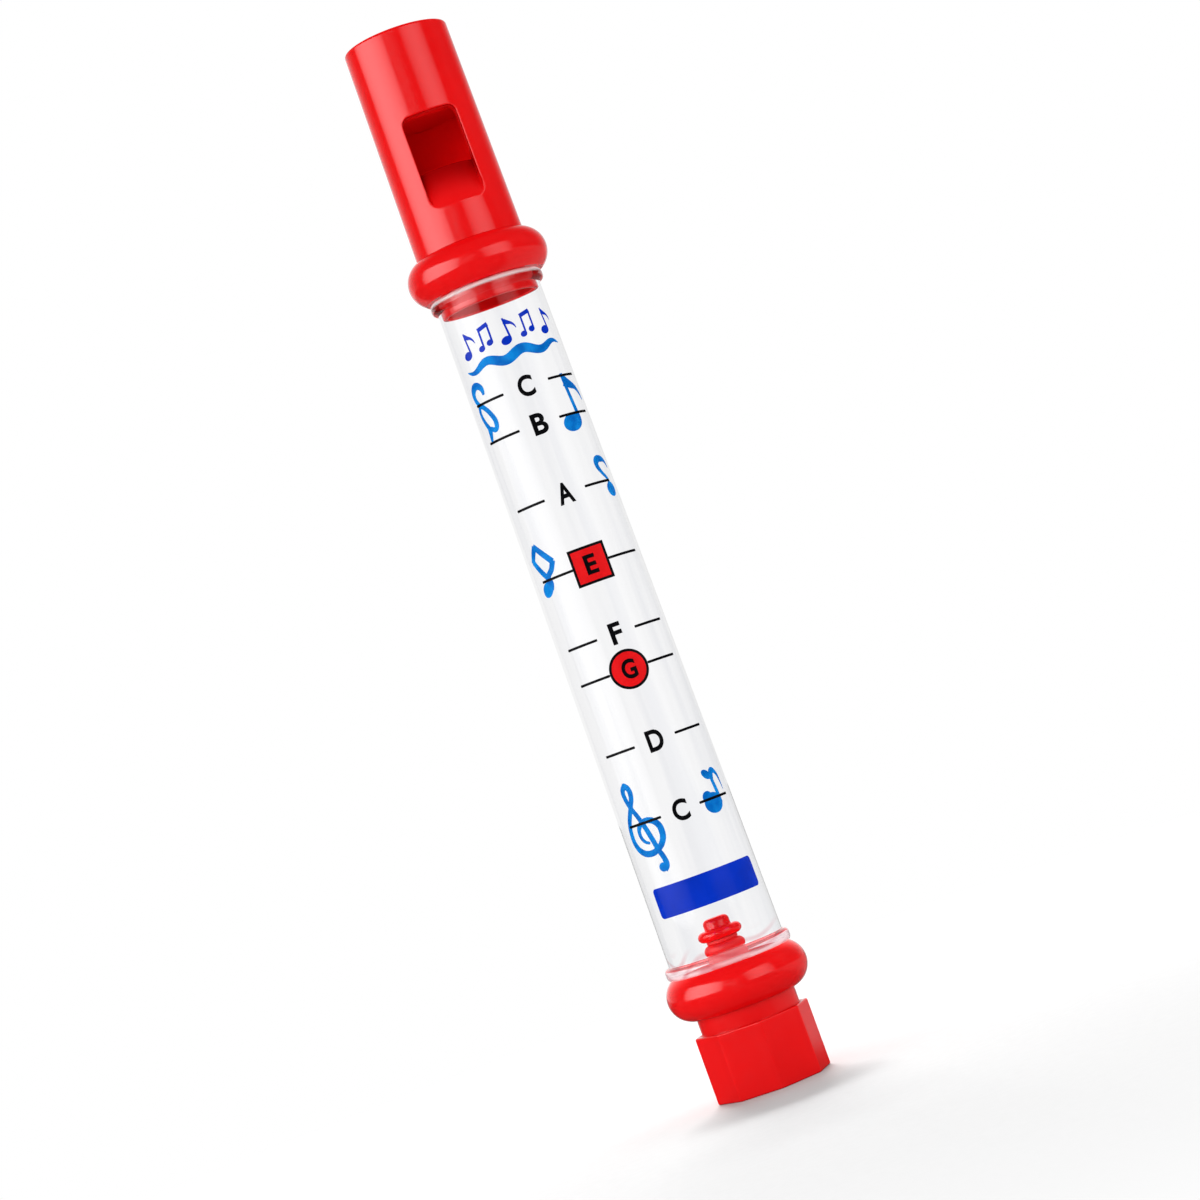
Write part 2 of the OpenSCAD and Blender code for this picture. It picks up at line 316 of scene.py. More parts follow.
def whistle_depth(tree, place):
    """How far a place lies towards the bore, 0 outside to 1: anywhere, off the lip, and on the lip; the
    masks of the shade painted in the whistle.
    """
    level = add(tree, "ShaderNodeVectorMath", {"operation": "MULTIPLY"}, {0: place, 1: (1, 1, 0)})
    radius = add(tree, "ShaderNodeVectorMath", {"operation": "LENGTH"}, {0: level})
    wall = add(tree, "ShaderNodeMapRange", {"interpolation_type": "SMOOTHSTEP"},
               {"Value": radius.outputs["Value"], "From Min": barrel_r(WINDOW_TOP) - 0.1 * MM,
                "From Max": sizes().bore_d / 2})
    split = add(tree, "ShaderNodeSeparateXYZ", {}, {0: place}).outputs
    above = add(tree, "ShaderNodeMapRange", {},
                {"Value": split["Z"], "From Min": ring_top_z(), "From Max": ring_top_z() + 4 * MM})
    barrel = add(tree, "ShaderNodeMath", {"operation": "MULTIPLY"}, {0: above, 1: wall})
    skirt = add(tree, "ShaderNodeMapRange", {},
                {"Value": radius.outputs["Value"], "From Min": sizes().bore_d / 2 + 0.5 * MM,
                 "From Max": sizes().bore_d / 2 + 0.2 * MM})
    deep = add(tree, "ShaderNodeMath", {"operation": "MAXIMUM"}, {0: barrel, 1: skirt})
    front = add(tree, "ShaderNodeMapRange", {},
                {"Value": split["Y"], "From Min": -2 * MM, "From Max": -4 * MM})
    lip_top = WINDOW_TOP - sizes().window_h + sizes().lip_h
    low = add(tree, "ShaderNodeMapRange", {},
              {"Value": split["Z"], "From Min": lip_top + 1 * MM, "From Max": lip_top})
    before = add(tree, "ShaderNodeMath", {"operation": "MULTIPLY"}, {0: front, 1: low})
    on_lip = add(tree, "ShaderNodeMath", {"operation": "MULTIPLY"}, {0: deep, 1: before})
    off_lip = add(tree, "ShaderNodeMath", {"operation": "SUBTRACT"}, {0: deep, 1: on_lip})
    return deep, off_lip, on_lip


def clear_styrene():
    """Clear polystyrene, injection moulded in a polished tool."""
    # Water clear with a bright gloss. Flow in the mould leaves long faint grey streaks up the tube,
    # the thick beads look milky, and the lamps shine through it all on to what is inside.
    made, tree, place = blank("Clear polystyrene, moulded")
    along = add(tree, "ShaderNodeMapping", {}, {"Vector": place, "Scale": (1, 1, 0.04)})
    streaks = add(tree, "ShaderNodeTexNoise", {},
                  {"Vector": along, "Scale": 1 / (3 * MM), "Detail": 2})
    rough = add(tree, "ShaderNodeMapRange", {},
                {"Value": streaks.outputs["Fac"], "From Min": 0.3, "From Max": 0.7,
                 "To Min": 0.01, "To Max": 0.045})
    bump = add(tree, "ShaderNodeBump", {},
               {"Height": streaks.outputs["Fac"], "Strength": 0.1, "Distance": 0.02 * MM})
    grey = add(tree, "ShaderNodeMapRange", {},
               {"Value": streaks.outputs["Fac"], "From Min": 0.42, "From Max": 0.62})
    tint = add(tree, "ShaderNodeMix", {"data_type": "RGBA"},
               {0: grey, 6: (*colours().clear, 1), 7: (*colours().clear_streak, 1)})
    # Height from the middle of the tube. The lower bead is milky, with a painted reflection of the
    # collar's red, and both are milky by their seats.
    height = add(tree, "ShaderNodeSeparateXYZ", {}, {0: place}).outputs["Z"]
    middle = (SEAT_LOW + SEAT_TOP) / 2
    above = add(tree, "ShaderNodeMath", {"operation": "SUBTRACT"}, {0: height, 1: middle})
    reach = add(tree, "ShaderNodeMath", {"operation": "ABSOLUTE"}, {0: above})
    bead = (SEAT_TOP - SEAT_LOW) / 2 - sizes().bead_h
    collar_reflection = add(tree, "ShaderNodeMapRange", {"interpolation_type": "SMOOTHSTEP"},
                {"Value": above, "From Min": -bead + 0.6 * MM, "From Max": -bead - 0.4 * MM})
    tint = add(tree, "ShaderNodeMix", {"data_type": "RGBA"},
               {0: collar_reflection, 6: tint.outputs[2], 7: (*colours().clear_blush, 1)})
    # The collar's red is also painted as reflected swirls 3 mm apart that die out above the bead
    swirl = add(tree, "ShaderNodeTexWave", {"bands_direction": "Z"},
                {"Vector": place, "Scale": math.pi / 10 / (3 * MM), "Distortion": 10, "Detail": 0,
                 "Detail Scale": 1.1})
    thread = add(tree, "ShaderNodeMapRange", {}, {"Value": swirl.outputs["Fac"], "From Min": 0.4})
    near = add(tree, "ShaderNodeMapRange", {"interpolation_type": "SMOOTHSTEP"},
               {"Value": above, "From Min": -bead + 3.2 * MM, "From Max": -bead,
                "To Max": 0.75})
    trail = add(tree, "ShaderNodeMath", {"operation": "MULTIPLY"}, {0: thread, 1: near})
    deep = tuple(c ** 3 for c in colours().clear_blush)
    tint = add(tree, "ShaderNodeMix", {"data_type": "RGBA"},
               {0: trail, 6: tint.outputs[2], 7: (*deep, 1)})
    milky = add(tree, "ShaderNodeMapRange", {"interpolation_type": "SMOOTHSTEP"},
                {"Value": above, "From Min": -bead - 0.4 * MM, "From Max": -bead + 0.6 * MM,
                 "To Min": 0.74, "To Max": 1.0})
    seat = add(tree, "ShaderNodeMapRange", {"interpolation_type": "SMOOTHSTEP"},
               {"Value": reach, "From Min": bead + 1.1 * MM, "From Max": bead + 1.7 * MM,
                "To Min": 1.0, "To Max": 0.4})
    through = add(tree, "ShaderNodeMath", {"operation": "MULTIPLY"}, {0: milky, 1: seat})
    skin = add(tree, "ShaderNodeBsdfPrincipled", {},
               {"Base Color": tint.outputs[2], "Roughness": rough,
                "Normal": bump, "IOR": 1.12, "Transmission Weight": through,
                "Coat Weight": 0.5, "Coat IOR": 1.5, "Coat Roughness": 0.03})
    bare = add(tree, "ShaderNodeBsdfTransparent", {}, {"Color": (0.98, 0.98, 0.983, 1)})
    # Lamplight, and what has already come through the front wall, goes straight through
    path = add(tree, "ShaderNodeLightPath").outputs
    late = add(tree, "ShaderNodeMath", {"operation": "GREATER_THAN"}, {0: path["Ray Depth"], 1: 0.5})
    straight = add(tree, "ShaderNodeMath", {"operation": "MAXIMUM"},
                   {0: path["Is Shadow Ray"], 1: late})
    both = add(tree, "ShaderNodeMixShader", {}, {0: straight, 1: skin, 2: bare})
    add(tree, "ShaderNodeOutputMaterial", {}, {"Surface": both})
    return made


def soft_rubber(name, tone, tint_dark):
    """Moulded rubber or silicone."""
    # Duller than the hard plastic, with a fine bloom that spreads every highlight.
    made, tree, place = blank(name)
    bloom = add(tree, "ShaderNodeTexNoise", {},
                {"Vector": place, "Scale": 1 / (0.8 * MM), "Detail": 5})
    deep = tuple(c * tint_dark for c in tone)
    mixed = add(tree, "ShaderNodeMix", {"data_type": "RGBA"},
                {0: bloom.outputs["Fac"], 6: (*deep, 1), 7: (*tone, 1)})
    rough = add(tree, "ShaderNodeMapRange", {},
                {"Value": bloom.outputs["Fac"], "To Min": 0.3, "To Max": 0.5})
    bump = add(tree, "ShaderNodeBump", {},
               {"Height": bloom.outputs["Fac"], "Strength": 0.15, "Distance": 0.03 * MM})
    skin = add(tree, "ShaderNodeBsdfPrincipled", {},
               {"Base Color": mixed.outputs[2], "Roughness": rough,
                "Normal": bump, "IOR": 1.45})
    add(tree, "ShaderNodeOutputMaterial", {}, {"Surface": skin})
    return made


def screen_ink(name, pale, deep, cloud, gloss=0.03):
    """Screen-printing ink on plastic, from its paler to its deeper tone."""
    # The film is thin, so its tone drifts across a mark, and the mesh leaves a fine tooth.
    made, tree, place = blank(name)
    drift = add(tree, "ShaderNodeTexNoise", {},
                {"Vector": place, "Scale": 1 / (cloud * MM), "Detail": 1})
    spread = add(tree, "ShaderNodeMapRange", {},
                 {"Value": drift.outputs["Fac"], "From Min": 0.35, "From Max": 0.65})
    tone = add(tree, "ShaderNodeMix", {"data_type": "RGBA"},
               {0: spread, 6: (*deep, 1), 7: (*pale, 1)})
    tooth = add(tree, "ShaderNodeTexNoise", {},
                {"Vector": place, "Scale": 1 / (0.3 * MM), "Detail": 2})
    rough = add(tree, "ShaderNodeMapRange", {},
                {"Value": tooth.outputs["Fac"], "To Min": 0.12, "To Max": 0.2})
    skin = add(tree, "ShaderNodeBsdfPrincipled", {},
               {"Base Color": tone.outputs[2], "Roughness": rough, "Specular IOR Level": gloss})
    add(tree, "ShaderNodeOutputMaterial", {}, {"Surface": skin})
    return made


def stock(make, *values):
    """The material of this maker and values, made once."""
    key = make.__name__ + "".join(str(v) for v in values[:1])
    if key not in stock.shelf:
        stock.shelf[key] = make(*values)
    return stock.shelf[key]


stock.shelf = {}


def black_ink():
    tone = tuple(colours().black)
    return stock(screen_ink, "Black ink, screen printed", tuple(c * 1.6 for c in tone), tone, 2)


def badge_ink():
    tone = tuple(colours().badge)
    return stock(screen_ink, "Red ink, screen printed", tone, tuple(c * 0.9 for c in tone), 3)


def bar_ink():
    tone = tuple(colours().bar)
    return stock(screen_ink, "Blue ink, screen printed", tone, tuple(c * 0.85 for c in tone), 6, 0.12)


def note_ink():
    pale, deep = tuple(colours().note_pale), tuple(colours().note_deep)
    return stock(screen_ink, "Light blue ink, screen printed", pale, deep, 2.5)


# Modelling


def arc(r, z, radius, start, end, steps):
    """Points of an arc in a turned section, from start to end in degrees round (r, z)."""
    turns = [math.radians(start + (end - start) * k / steps) for k in range(steps + 1)]
    return [(r + radius * math.cos(t), z + radius * math.sin(t)) for t in turns]


def ladder(low, high, rows):
    """Heights from low to high, closer together at both ends."""
    return [low + (high - low) * (1 - math.cos(math.pi * k / rows)) / 2 for k in range(rows + 1)]


def tidy_shell(piece):
    """Merges doubles and turns every face outwards."""
    bpy.ops.object.mode_set(mode="EDIT")
    bpy.ops.mesh.select_all(action="SELECT")
    bpy.ops.mesh.remove_doubles(threshold=MERGE)
    bpy.ops.mesh.normals_make_consistent(inside=False)
    bpy.ops.object.mode_set(mode="OBJECT")
    return piece


def turned(name, section, closed=True, columns=COLUMNS):
    """A piece turned on the flute's axis from a section of (radius, height) points."""
    bpy.ops.object.select_all(action="DESELECT")
    bpy.ops.mesh.primitive_plane_add(size=MM, location=(section[0][0], 0, section[0][1]))
    piece = bpy.context.object
    piece.name = piece.data.name = name
    bpy.ops.object.transform_apply(location=True)
    bpy.ops.object.mode_set(mode="EDIT")
    bpy.ops.mesh.select_mode(type="VERT")
    bpy.ops.mesh.select_all(action="SELECT")
    bpy.ops.mesh.merge(type="CENTER")
    ends = section[1:] + section[:1] if closed else section[1:]
    for (r0, z0), (r1, z1) in zip(section, ends):
        bpy.ops.mesh.extrude_region_move(TRANSFORM_OT_translate={"value": (r1 - r0, 0, z1 - z0)})
    bpy.ops.mesh.select_all(action="SELECT")
    bpy.ops.mesh.remove_doubles(threshold=MERGE)
    bpy.ops.mesh.spin(steps=columns, angle=2 * math.pi, center=(0, 0, 0), axis=(0, 0, 1))
    bpy.ops.object.mode_set(mode="OBJECT")
    return tidy_shell(piece)


def pick(piece, part, test):
    """Selects the piece's vertices, edges or faces that pass a test, and leaves edit mode on."""
    kinds = {"vertices": "VERT", "edges": "EDGE", "polygons": "FACE"}
    bpy.ops.object.mode_set(mode="EDIT")
    bpy.ops.mesh.select_mode(type=kinds[part])
    bpy.ops.mesh.select_all(action="DESELECT")
    bpy.ops.object.mode_set(mode="OBJECT")
    for item in getattr(piece.data, part):
        item.select = test(item)
    bpy.ops.object.mode_set(mode="EDIT")


def span(columns, of):
    """Angle in degrees from the front that takes in this many columns to a side, and no more."""
    return (columns + 0.25) * 360 / of


def girth(co):
    """Radius of a point, and its angle in degrees from the front, to the right."""
    return math.hypot(co.x, co.y), math.degrees(math.atan2(co.x, -co.y))


def to_radius(piece, radius, test):
    """Moves the vertices that pass a test on (radius, angle, height) out or in to a radius."""
    pick(piece, "vertices", lambda v: test(*girth(v.co), v.co.z))
    bpy.ops.object.mode_set(mode="OBJECT")
    now = [girth(v.co)[0] for v in piece.data.vertices if v.select]
    if not now:
        raise RuntimeError(f"{piece.name} has nothing to move to radius {radius}")
    bpy.ops.object.mode_set(mode="EDIT")
    grow = radius * len(now) / sum(now)
    bpy.ops.transform.resize(value=(grow, grow, 1), center_override=(0, 0, 0))
    bpy.ops.object.mode_set(mode="OBJECT")


def applied(piece, kind, **fields):
    """Adds a modifier with these fields to the piece and applies it."""
    change = piece.modifiers.new(kind.lower(), kind)
    for field, value in fields.items():
        setattr(change, field, value)
    bpy.context.view_layer.objects.active = piece
    bpy.ops.object.modifier_apply(modifier=change.name)


def only(item):
    """Selects one object alone and makes it the active one."""
    bpy.ops.object.select_all(action="DESELECT")
    item.select_set(True)
    bpy.context.view_layer.objects.active = item


def smoothed(piece, angle=32):
    """Smooth shading that keeps edges sharper than the angle, and lets flats stay flat."""
    only(piece)
    bpy.ops.object.shade_smooth_by_angle(angle=math.radians(angle))
    applied(piece, "WEIGHTED_NORMAL", keep_sharp=True, weight=50)
    return piece


def dressed(piece, body, node, material):
    """Hands a finished piece to its body, in place of its CAD node."""
    piece.data.materials.clear()
    piece.data.materials.append(material)
    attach(piece, body)
    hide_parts(node)


class FlutePiece:
    """What the flute's operators share."""

    bl_options = {"REGISTER", "UNDO"}


class FLUTE_OT_mouthpiece(FlutePiece, bpy.types.Operator):
    """Turn the mouthpiece, then cut its window, lip and windway"""

    bl_idname = "flute.mouthpiece"
    bl_label = "Mouthpiece"

    def execute(self, context):
        s = sizes()
        window_low = WINDOW_TOP - s.window_h
        lip_top = window_low + s.lip_h
        bore = s.bore_d / 2
        piece = self.shell(window_low, lip_top, bore)
        self.open_window(piece, window_low, lip_top, bore)
        way = span(WINDWAY_COLUMNS, BORE_COLUMNS)
        back = 180 - span(KEY_COLUMNS, BORE_COLUMNS)
        to_radius(piece, bore + s.windway_rise,
                  lambda r, a, z: abs(r - bore) < 0.05 * MM and abs(a) < way and z > WINDOW_TOP - SAME)
        to_radius(piece, bore + KEY_OUT + GLUE_FIT,
                  lambda r, a, z: abs(r - bore) < 0.05 * MM and abs(a) > back and z > WINDOW_TOP - SAME)
        smoothed(piece)
        dressed(piece, "flute_body", "mouthpiece",
                stock(moulded_abs, "with a dull bore"))
        return {"FINISHED"}

    def shell(self, window_low, lip_top, bore):
        """The outside and the bore, turned apart and joined by the flat rims at both ends."""
        piece = turned("mouthpiece_moulding", self.outside(window_low), closed=False)
        turned("bore", self.inside(lip_top, bore), closed=False, columns=BORE_COLUMNS)
        piece.select_set(True)
        bpy.context.view_layer.objects.active = piece
        bpy.ops.object.join()
        for rim in (MOUTH_Z, SKIRT_Z):
            ends = [v.index for v in piece.data.vertices if abs(v.co.z - rim) < SAME]
            pick(piece, "edges", lambda e: all(v in ends for v in e.vertices))
            bpy.ops.mesh.fill(use_beauty=True)
            bpy.ops.object.mode_set(mode="OBJECT")
        return tidy_shell(piece)

    def outside(self, window_low):
        s = sizes()
        ring_r, ring_z, ring = ring_centre_r(), ring_top_z(), s.ring_r
        rim_z = MOUTH_Z - s.rim_round
        # The barrel runs down into the ring where their radii meet
        high = math.degrees(math.acos((barrel_r(ring_z + 0.95 * ring) - ring_r) / ring))
        seat = -math.degrees(math.asin(seat_rise() / ring))
        join_z = ring_z + ring * math.sin(math.radians(high))
        rows = reversed(ladder(window_low, WINDOW_TOP, WINDOW_ROWS))
        barrel = [(barrel_r(z), z) for z in (MOUTH_Z - 6 * MM, MOUTH_Z - 11 * MM, *rows)]
        barrel += [(barrel_r(join_z + 2 * MM), join_z + 2 * MM)]
        rounded = arc(barrel_r(rim_z) - s.rim_round, rim_z, s.rim_round, 90, 0, 6)
        torus = arc(ring_r, ring_z, ring, high, seat, 40)
        groove = [(tube_r(SEAT_TOP) + GLUE_FIT, SEAT_TOP),
                  (tube_r(GROOVE_TOP) + GLUE_FIT, GROOVE_TOP),
                  (tube_in(GROOVE_TOP) - GLUE_FIT, GROOVE_TOP)]
        skirt_r = tube_in(SKIRT_Z) - GLUE_FIT
        skirt = [(tube_in(SEAT_TOP) - GLUE_FIT, SEAT_TOP)]
        skirt += arc(skirt_r - 0.4 * MM, SKIRT_Z + 0.4 * MM, 0.4 * MM, 0, -90, 4)
        return rounded + barrel + torus + groove + skirt

    def inside(self, lip_top, bore):
        walls = [(bore, z) for z in (*ladder(lip_top, WINDOW_TOP, WINDOW_ROWS), MOUTH_Z)]
        return [(bore + 0.3 * MM, SKIRT_Z), (bore, SKIRT_Z + 0.3 * MM), *walls]

    def open_window(self, piece, window_low, lip_top, bore):
        s = sizes()
        half = span(WINDOW_COLUMNS, COLUMNS)
        half_in = span(WINDOW_COLUMNS, BORE_COLUMNS)

        def in_window(face):
            r, a = girth(face.center)
            z = face.center.z
            if r > bore + 1.5 * MM:
                return abs(a) < half and window_low + SAME < z < WINDOW_TOP - SAME
            inside = abs(r - bore) < 0.1 * MM and abs(a) < half_in
            return inside and lip_top + SAME < z < WINDOW_TOP - SAME

        pick(piece, "polygons", in_window)
        bpy.ops.mesh.delete(type="FACE")
        bpy.ops.mesh.select_mode(type="EDGE")
        bpy.ops.mesh.select_all(action="DESELECT")
        bpy.ops.mesh.select_non_manifold(use_wire=False, use_multi_face=False,
                                         use_non_contiguous=False, use_verts=False)
        bpy.ops.object.mode_set(mode="OBJECT")
        rim = {v for e in piece.data.edges if e.select for v in e.vertices}
        outer = {v for v in rim if girth(piece.data.vertices[v].co)[0] > bore + 1.5 * MM}
        self.round_corners(piece, outer, window_low, barrel_r, WINDOW_COLUMNS * 360 / COLUMNS)
        inner = {v for v in rim - outer if piece.data.vertices[v].co.z > lip_top + 4 * MM}
        self.round_corners(piece, inner, lip_top, lambda z: bore, WINDOW_COLUMNS * 360 / BORE_COLUMNS)
        bpy.ops.object.mode_set(mode="EDIT")
        bpy.ops.mesh.bridge_edge_loops()
        bpy.ops.mesh.select_all(action="SELECT")
        bpy.ops.mesh.normals_make_consistent(inside=False)
        pick(piece, "edges", lambda e: all(v in outer for v in e.vertices))
        bpy.ops.mesh.bevel(offset=s.window_edge, segments=3, affect="EDGES", clamp_overlap=False)
        bpy.ops.object.mode_set(mode="OBJECT")

    def round_corners(self, piece, rim, low, wall_r, half):
        """Slides the window's edge on to an arc at each corner, along a wall of that radius."""
        s = sizes()
        for v in rim:
            co = piece.data.vertices[v].co
            r, a = girth(co)
            side = math.copysign(1, a)
            end = 1 if co.z > (low + WINDOW_TOP) / 2 else -1
            reach = s.window_round if end > 0 else 1.4 * s.window_round
            along = (half - abs(a)) * math.radians(1) * r
            up = abs((WINDOW_TOP if end > 0 else low) - co.z)
            if along >= reach or up >= reach:
                continue
            turn = math.radians(45) * (1 - max(along, up) / reach)
            if up > along:
                turn = math.radians(90) - turn
            along = reach * (1 - math.sin(turn))
            up = reach * (1 - math.cos(turn))
            z = (WINDOW_TOP if end > 0 else low) - end * up
            a = math.radians(side * (half - along / r / math.radians(1)))
            co.x, co.y, co.z = wall_r(z) * math.sin(a), -wall_r(z) * math.cos(a), z


class FLUTE_OT_fipple_block(FlutePiece, bpy.types.Operator):
    """Turn the block that stops the mouth end, with the windway's floor and its key"""

    bl_idname = "flute.fipple_block"
    bl_label = "Fipple block"

    def execute(self, context):
        s = sizes()
        snug = s.bore_d / 2 - GLUE_FIT
        floor = s.bore_d / 2 + s.windway_rise - s.windway_h
        chamfer = 0.5 * MM
        low, high, middle = WINDOW_TOP, MOUTH_Z, 4 * MM
        section = [(0, low), (middle, low), (snug, low), (snug, low + chamfer),
                   (snug, high - 4 * MM), (snug, high), (middle, high), (0, high)]
        piece = turned("fipple_block_moulding", section, closed=False, columns=BORE_COLUMNS)
        half = span(WINDWAY_COLUMNS, BORE_COLUMNS)
        back = 180 - span(KEY_COLUMNS, BORE_COLUMNS)
        rim = snug - 0.01 * MM
        to_radius(piece, floor, lambda r, a, z: r > rim and abs(a) < half)
        to_radius(piece, floor - chamfer,
                  lambda r, a, z: abs(r - floor) < SAME and abs(a) < half and z < WINDOW_TOP + SAME)
        to_radius(piece, s.bore_d / 2 + KEY_OUT, lambda r, a, z: r > rim and abs(a) > back)
        smoothed(piece)
        dressed(piece, "flute_body", "fipple_block",
                stock(moulded_abs, "with a dull bore"))
        return {"FINISHED"}


class FLUTE_OT_tube(FlutePiece, bpy.types.Operator):
    """Turn the clear tube with a bead round each end"""

    bl_idname = "flute.tube"
    bl_label = "Tube"

    def execute(self, context):
        low = self.bead(SEAT_LOW, 1)
        high = list(reversed(self.bead(SEAT_TOP, -1)))
        walls = [SEAT_LOW + (SEAT_TOP - SEAT_LOW) * k / 12 for k in range(1, 12)]
        outside = [(tube_r(TUBE_LOW), TUBE_LOW)] + low + [(tube_r(z), z) for z in walls]
        outside += high + [(tube_r(TUBE_TOP), TUBE_TOP)]
        inside = [(tube_in(z), z) for z in (TUBE_TOP, *reversed(walls), TUBE_LOW)]
        piece = turned("tube_moulding", outside + inside, columns=2 * COLUMNS)
        smoothed(piece, 40)
        dressed(piece, "flute_body", "tube", stock(clear_styrene))
        return {"FINISHED"}

    def bead(self, seat, up):
        """Outline of the bead on a seat, out along it and back to the wall by a small fillet."""
        s = sizes()
        outer = tube_r(seat) + s.bead_out
        mid = outer - s.bead_round
        fillet = 0.3 * MM
        foot = tube_r(seat + up * s.bead_h) + fillet
        points = [(tube_r(seat), seat)]
        near = arc(mid, seat + up * s.bead_round, s.bead_round, -90 * up, 0, 6)
        far = arc(mid, seat + up * (s.bead_h - s.bead_round), s.bead_round, 0, 80 * up, 6)
        wall = arc(foot, seat + up * (s.bead_h + fillet), fillet, -100 * up, -180 * up, 4)
        return points + near + far + wall


class FLUTE_OT_end_collar(FlutePiece, bpy.types.Operator):
    """Turn the lower collar with its floor, neck and drain chamber"""

    bl_idname = "flute.end_collar"
    bl_label = "End collar"

    def execute(self, context):
        s = sizes()
        ring_r, ring_z, ring = ring_centre_r(), ring_low_z(), s.ring_r
        seat = math.degrees(math.asin(seat_rise() / ring))
        low = -math.degrees(math.acos((s.neck_d / 2 - ring_r) / ring))
        step_z = KNOB_TOP - 2.2 * MM
        floor_z = SEAT_LOW - s.floor_drop
        under_floor = floor_z - 2.2 * MM
        port, boss, chamber, thread = s.port_d / 2, s.boss_d / 2, s.chamber_d / 2, s.thread_d / 2
        soft = 0.3 * MM
        floor = [(port, BOSS_Z - soft), (port + soft, BOSS_Z), (boss - soft, BOSS_Z),
                 (boss, BOSS_Z - soft), (boss, floor_z + soft), (boss + soft, floor_z),
                 (tube_in(floor_z) - GLUE_FIT, floor_z)]
        groove = [(tube_in(GROOVE_LOW) - GLUE_FIT, GROOVE_LOW),
                  (tube_r(GROOVE_LOW) + GLUE_FIT, GROOVE_LOW), (tube_r(SEAT_LOW) + GLUE_FIT, SEAT_LOW)]
        torus = arc(ring_r, ring_z, ring, seat, low, 44)
        neck = [(s.neck_d / 2, step_z + soft), (s.neck_d / 2 - soft, step_z), (thread, step_z),
                (thread, NECK_LOW + 0.6 * MM), (thread - 0.6 * MM, NECK_LOW), (chamber, NECK_LOW)]
        chamber_wall = [(chamber, under_floor), (port, under_floor)]
        piece = turned("end_collar_moulding", floor + groove + torus + neck + chamber_wall)
        smoothed(piece)
        dressed(piece, "flute_body", "end_collar", stock(moulded_abs))
        return {"FINISHED"}


class FLUTE_OT_valve(FlutePiece, bpy.types.Operator):
    """Turn the valve's winged stem and the seal under its head"""

    bl_idname = "flute.valve"
    bl_label = "Valve stem and seal"

    def execute(self, context):
        s = sizes()
        rod = s.stem_d / 2
        self.stem(s, rod)
        self.seal(s, rod)
        return {"FINISHED"}

    def stem(self, s, rod):
        snap_top, snap_out = STEM_LOW + 1.2 * MM, rod + 0.5 * MM
        shoulder, shoulder_out = 6.05 * MM, rod + 0.75 * MM
        head_z = SEAL_TOP + GLUE_FIT
        rim = (HEAD_TOP - head_z) / 4
        crown, soft = s.crown_d / 2, 0.25 * MM
        section = [(0, STEM_LOW), (rod - 0.4 * MM, STEM_LOW), (snap_out, snap_top - 0.5 * MM),
                   (snap_out, snap_top), (rod, snap_top), (rod, shoulder),
                   (shoulder_out, shoulder), (shoulder_out, shoulder + 0.8 * MM),
                   (rod, shoulder + 1.5 * MM), (rod, head_z), (s.head_d / 2 - rim - 0.5 * MM, head_z)]
        section += arc(s.head_d / 2 - rim, head_z + rim, rim, -90, 80, 12)
        section += arc(crown + soft, head_z + 2 * rim + soft, soft, 270, 180, 4)
        section += arc(crown - s.crown_round, HEAD_TOP - s.crown_round, s.crown_round, 0, 90, 8)
        section += [(0, HEAD_TOP)]
        piece = turned("valve_stem_moulding", section, closed=False)
        wing_h = 5.6 * MM
        reach = s.port_d - 0.2 * MM
        for turn in (45, 135):
            bpy.ops.object.select_all(action="DESELECT")
            bpy.ops.mesh.primitive_cube_add(size=1, location=(0, 0, BOSS_Z - GLUE_FIT - wing_h / 2),
                                            rotation=(0, 0, math.radians(turn)),
                                            scale=(reach, 1 * MM, wing_h))
            wing = bpy.context.object
            bpy.ops.object.transform_apply(location=True, rotation=True, scale=True)
            bpy.ops.object.mode_set(mode="EDIT")
            bpy.ops.mesh.select_all(action="SELECT")
            bpy.ops.mesh.bevel(offset=0.2 * MM, segments=2, affect="EDGES")
            bpy.ops.object.mode_set(mode="OBJECT")
            applied(piece, "BOOLEAN", object=wing, operation="UNION", solver="EXACT")
            bpy.data.objects.remove(wing)
        smoothed(piece)
        dressed(piece, "valve", "valve_stem", stock(moulded_abs, "bright red"))

    def seal(self, s, rod):
        bulge = (SEAL_TOP - BOSS_Z) * 0.4
        bore, neck = rod + GLUE_FIT, rod + 0.75 * MM
        section = [(bore, BOSS_Z), (s.seal_d / 2 - bulge / 2, BOSS_Z)]
        section += arc(s.seal_d / 2 - bulge, BOSS_Z + bulge, bulge, -50, 80, 14)
        section += [(neck, BOSS_Z + 2.1 * bulge), (neck, SEAL_TOP), (bore, SEAL_TOP)]
        piece = turned("valve_seal_rubber", section)
        smoothed(piece)
        tone = tuple(colours().seal)
        dressed(piece, "valve", "valve_seal",
                stock(soft_rubber, "Red nitrile rubber, moulded", tone, 0.9))


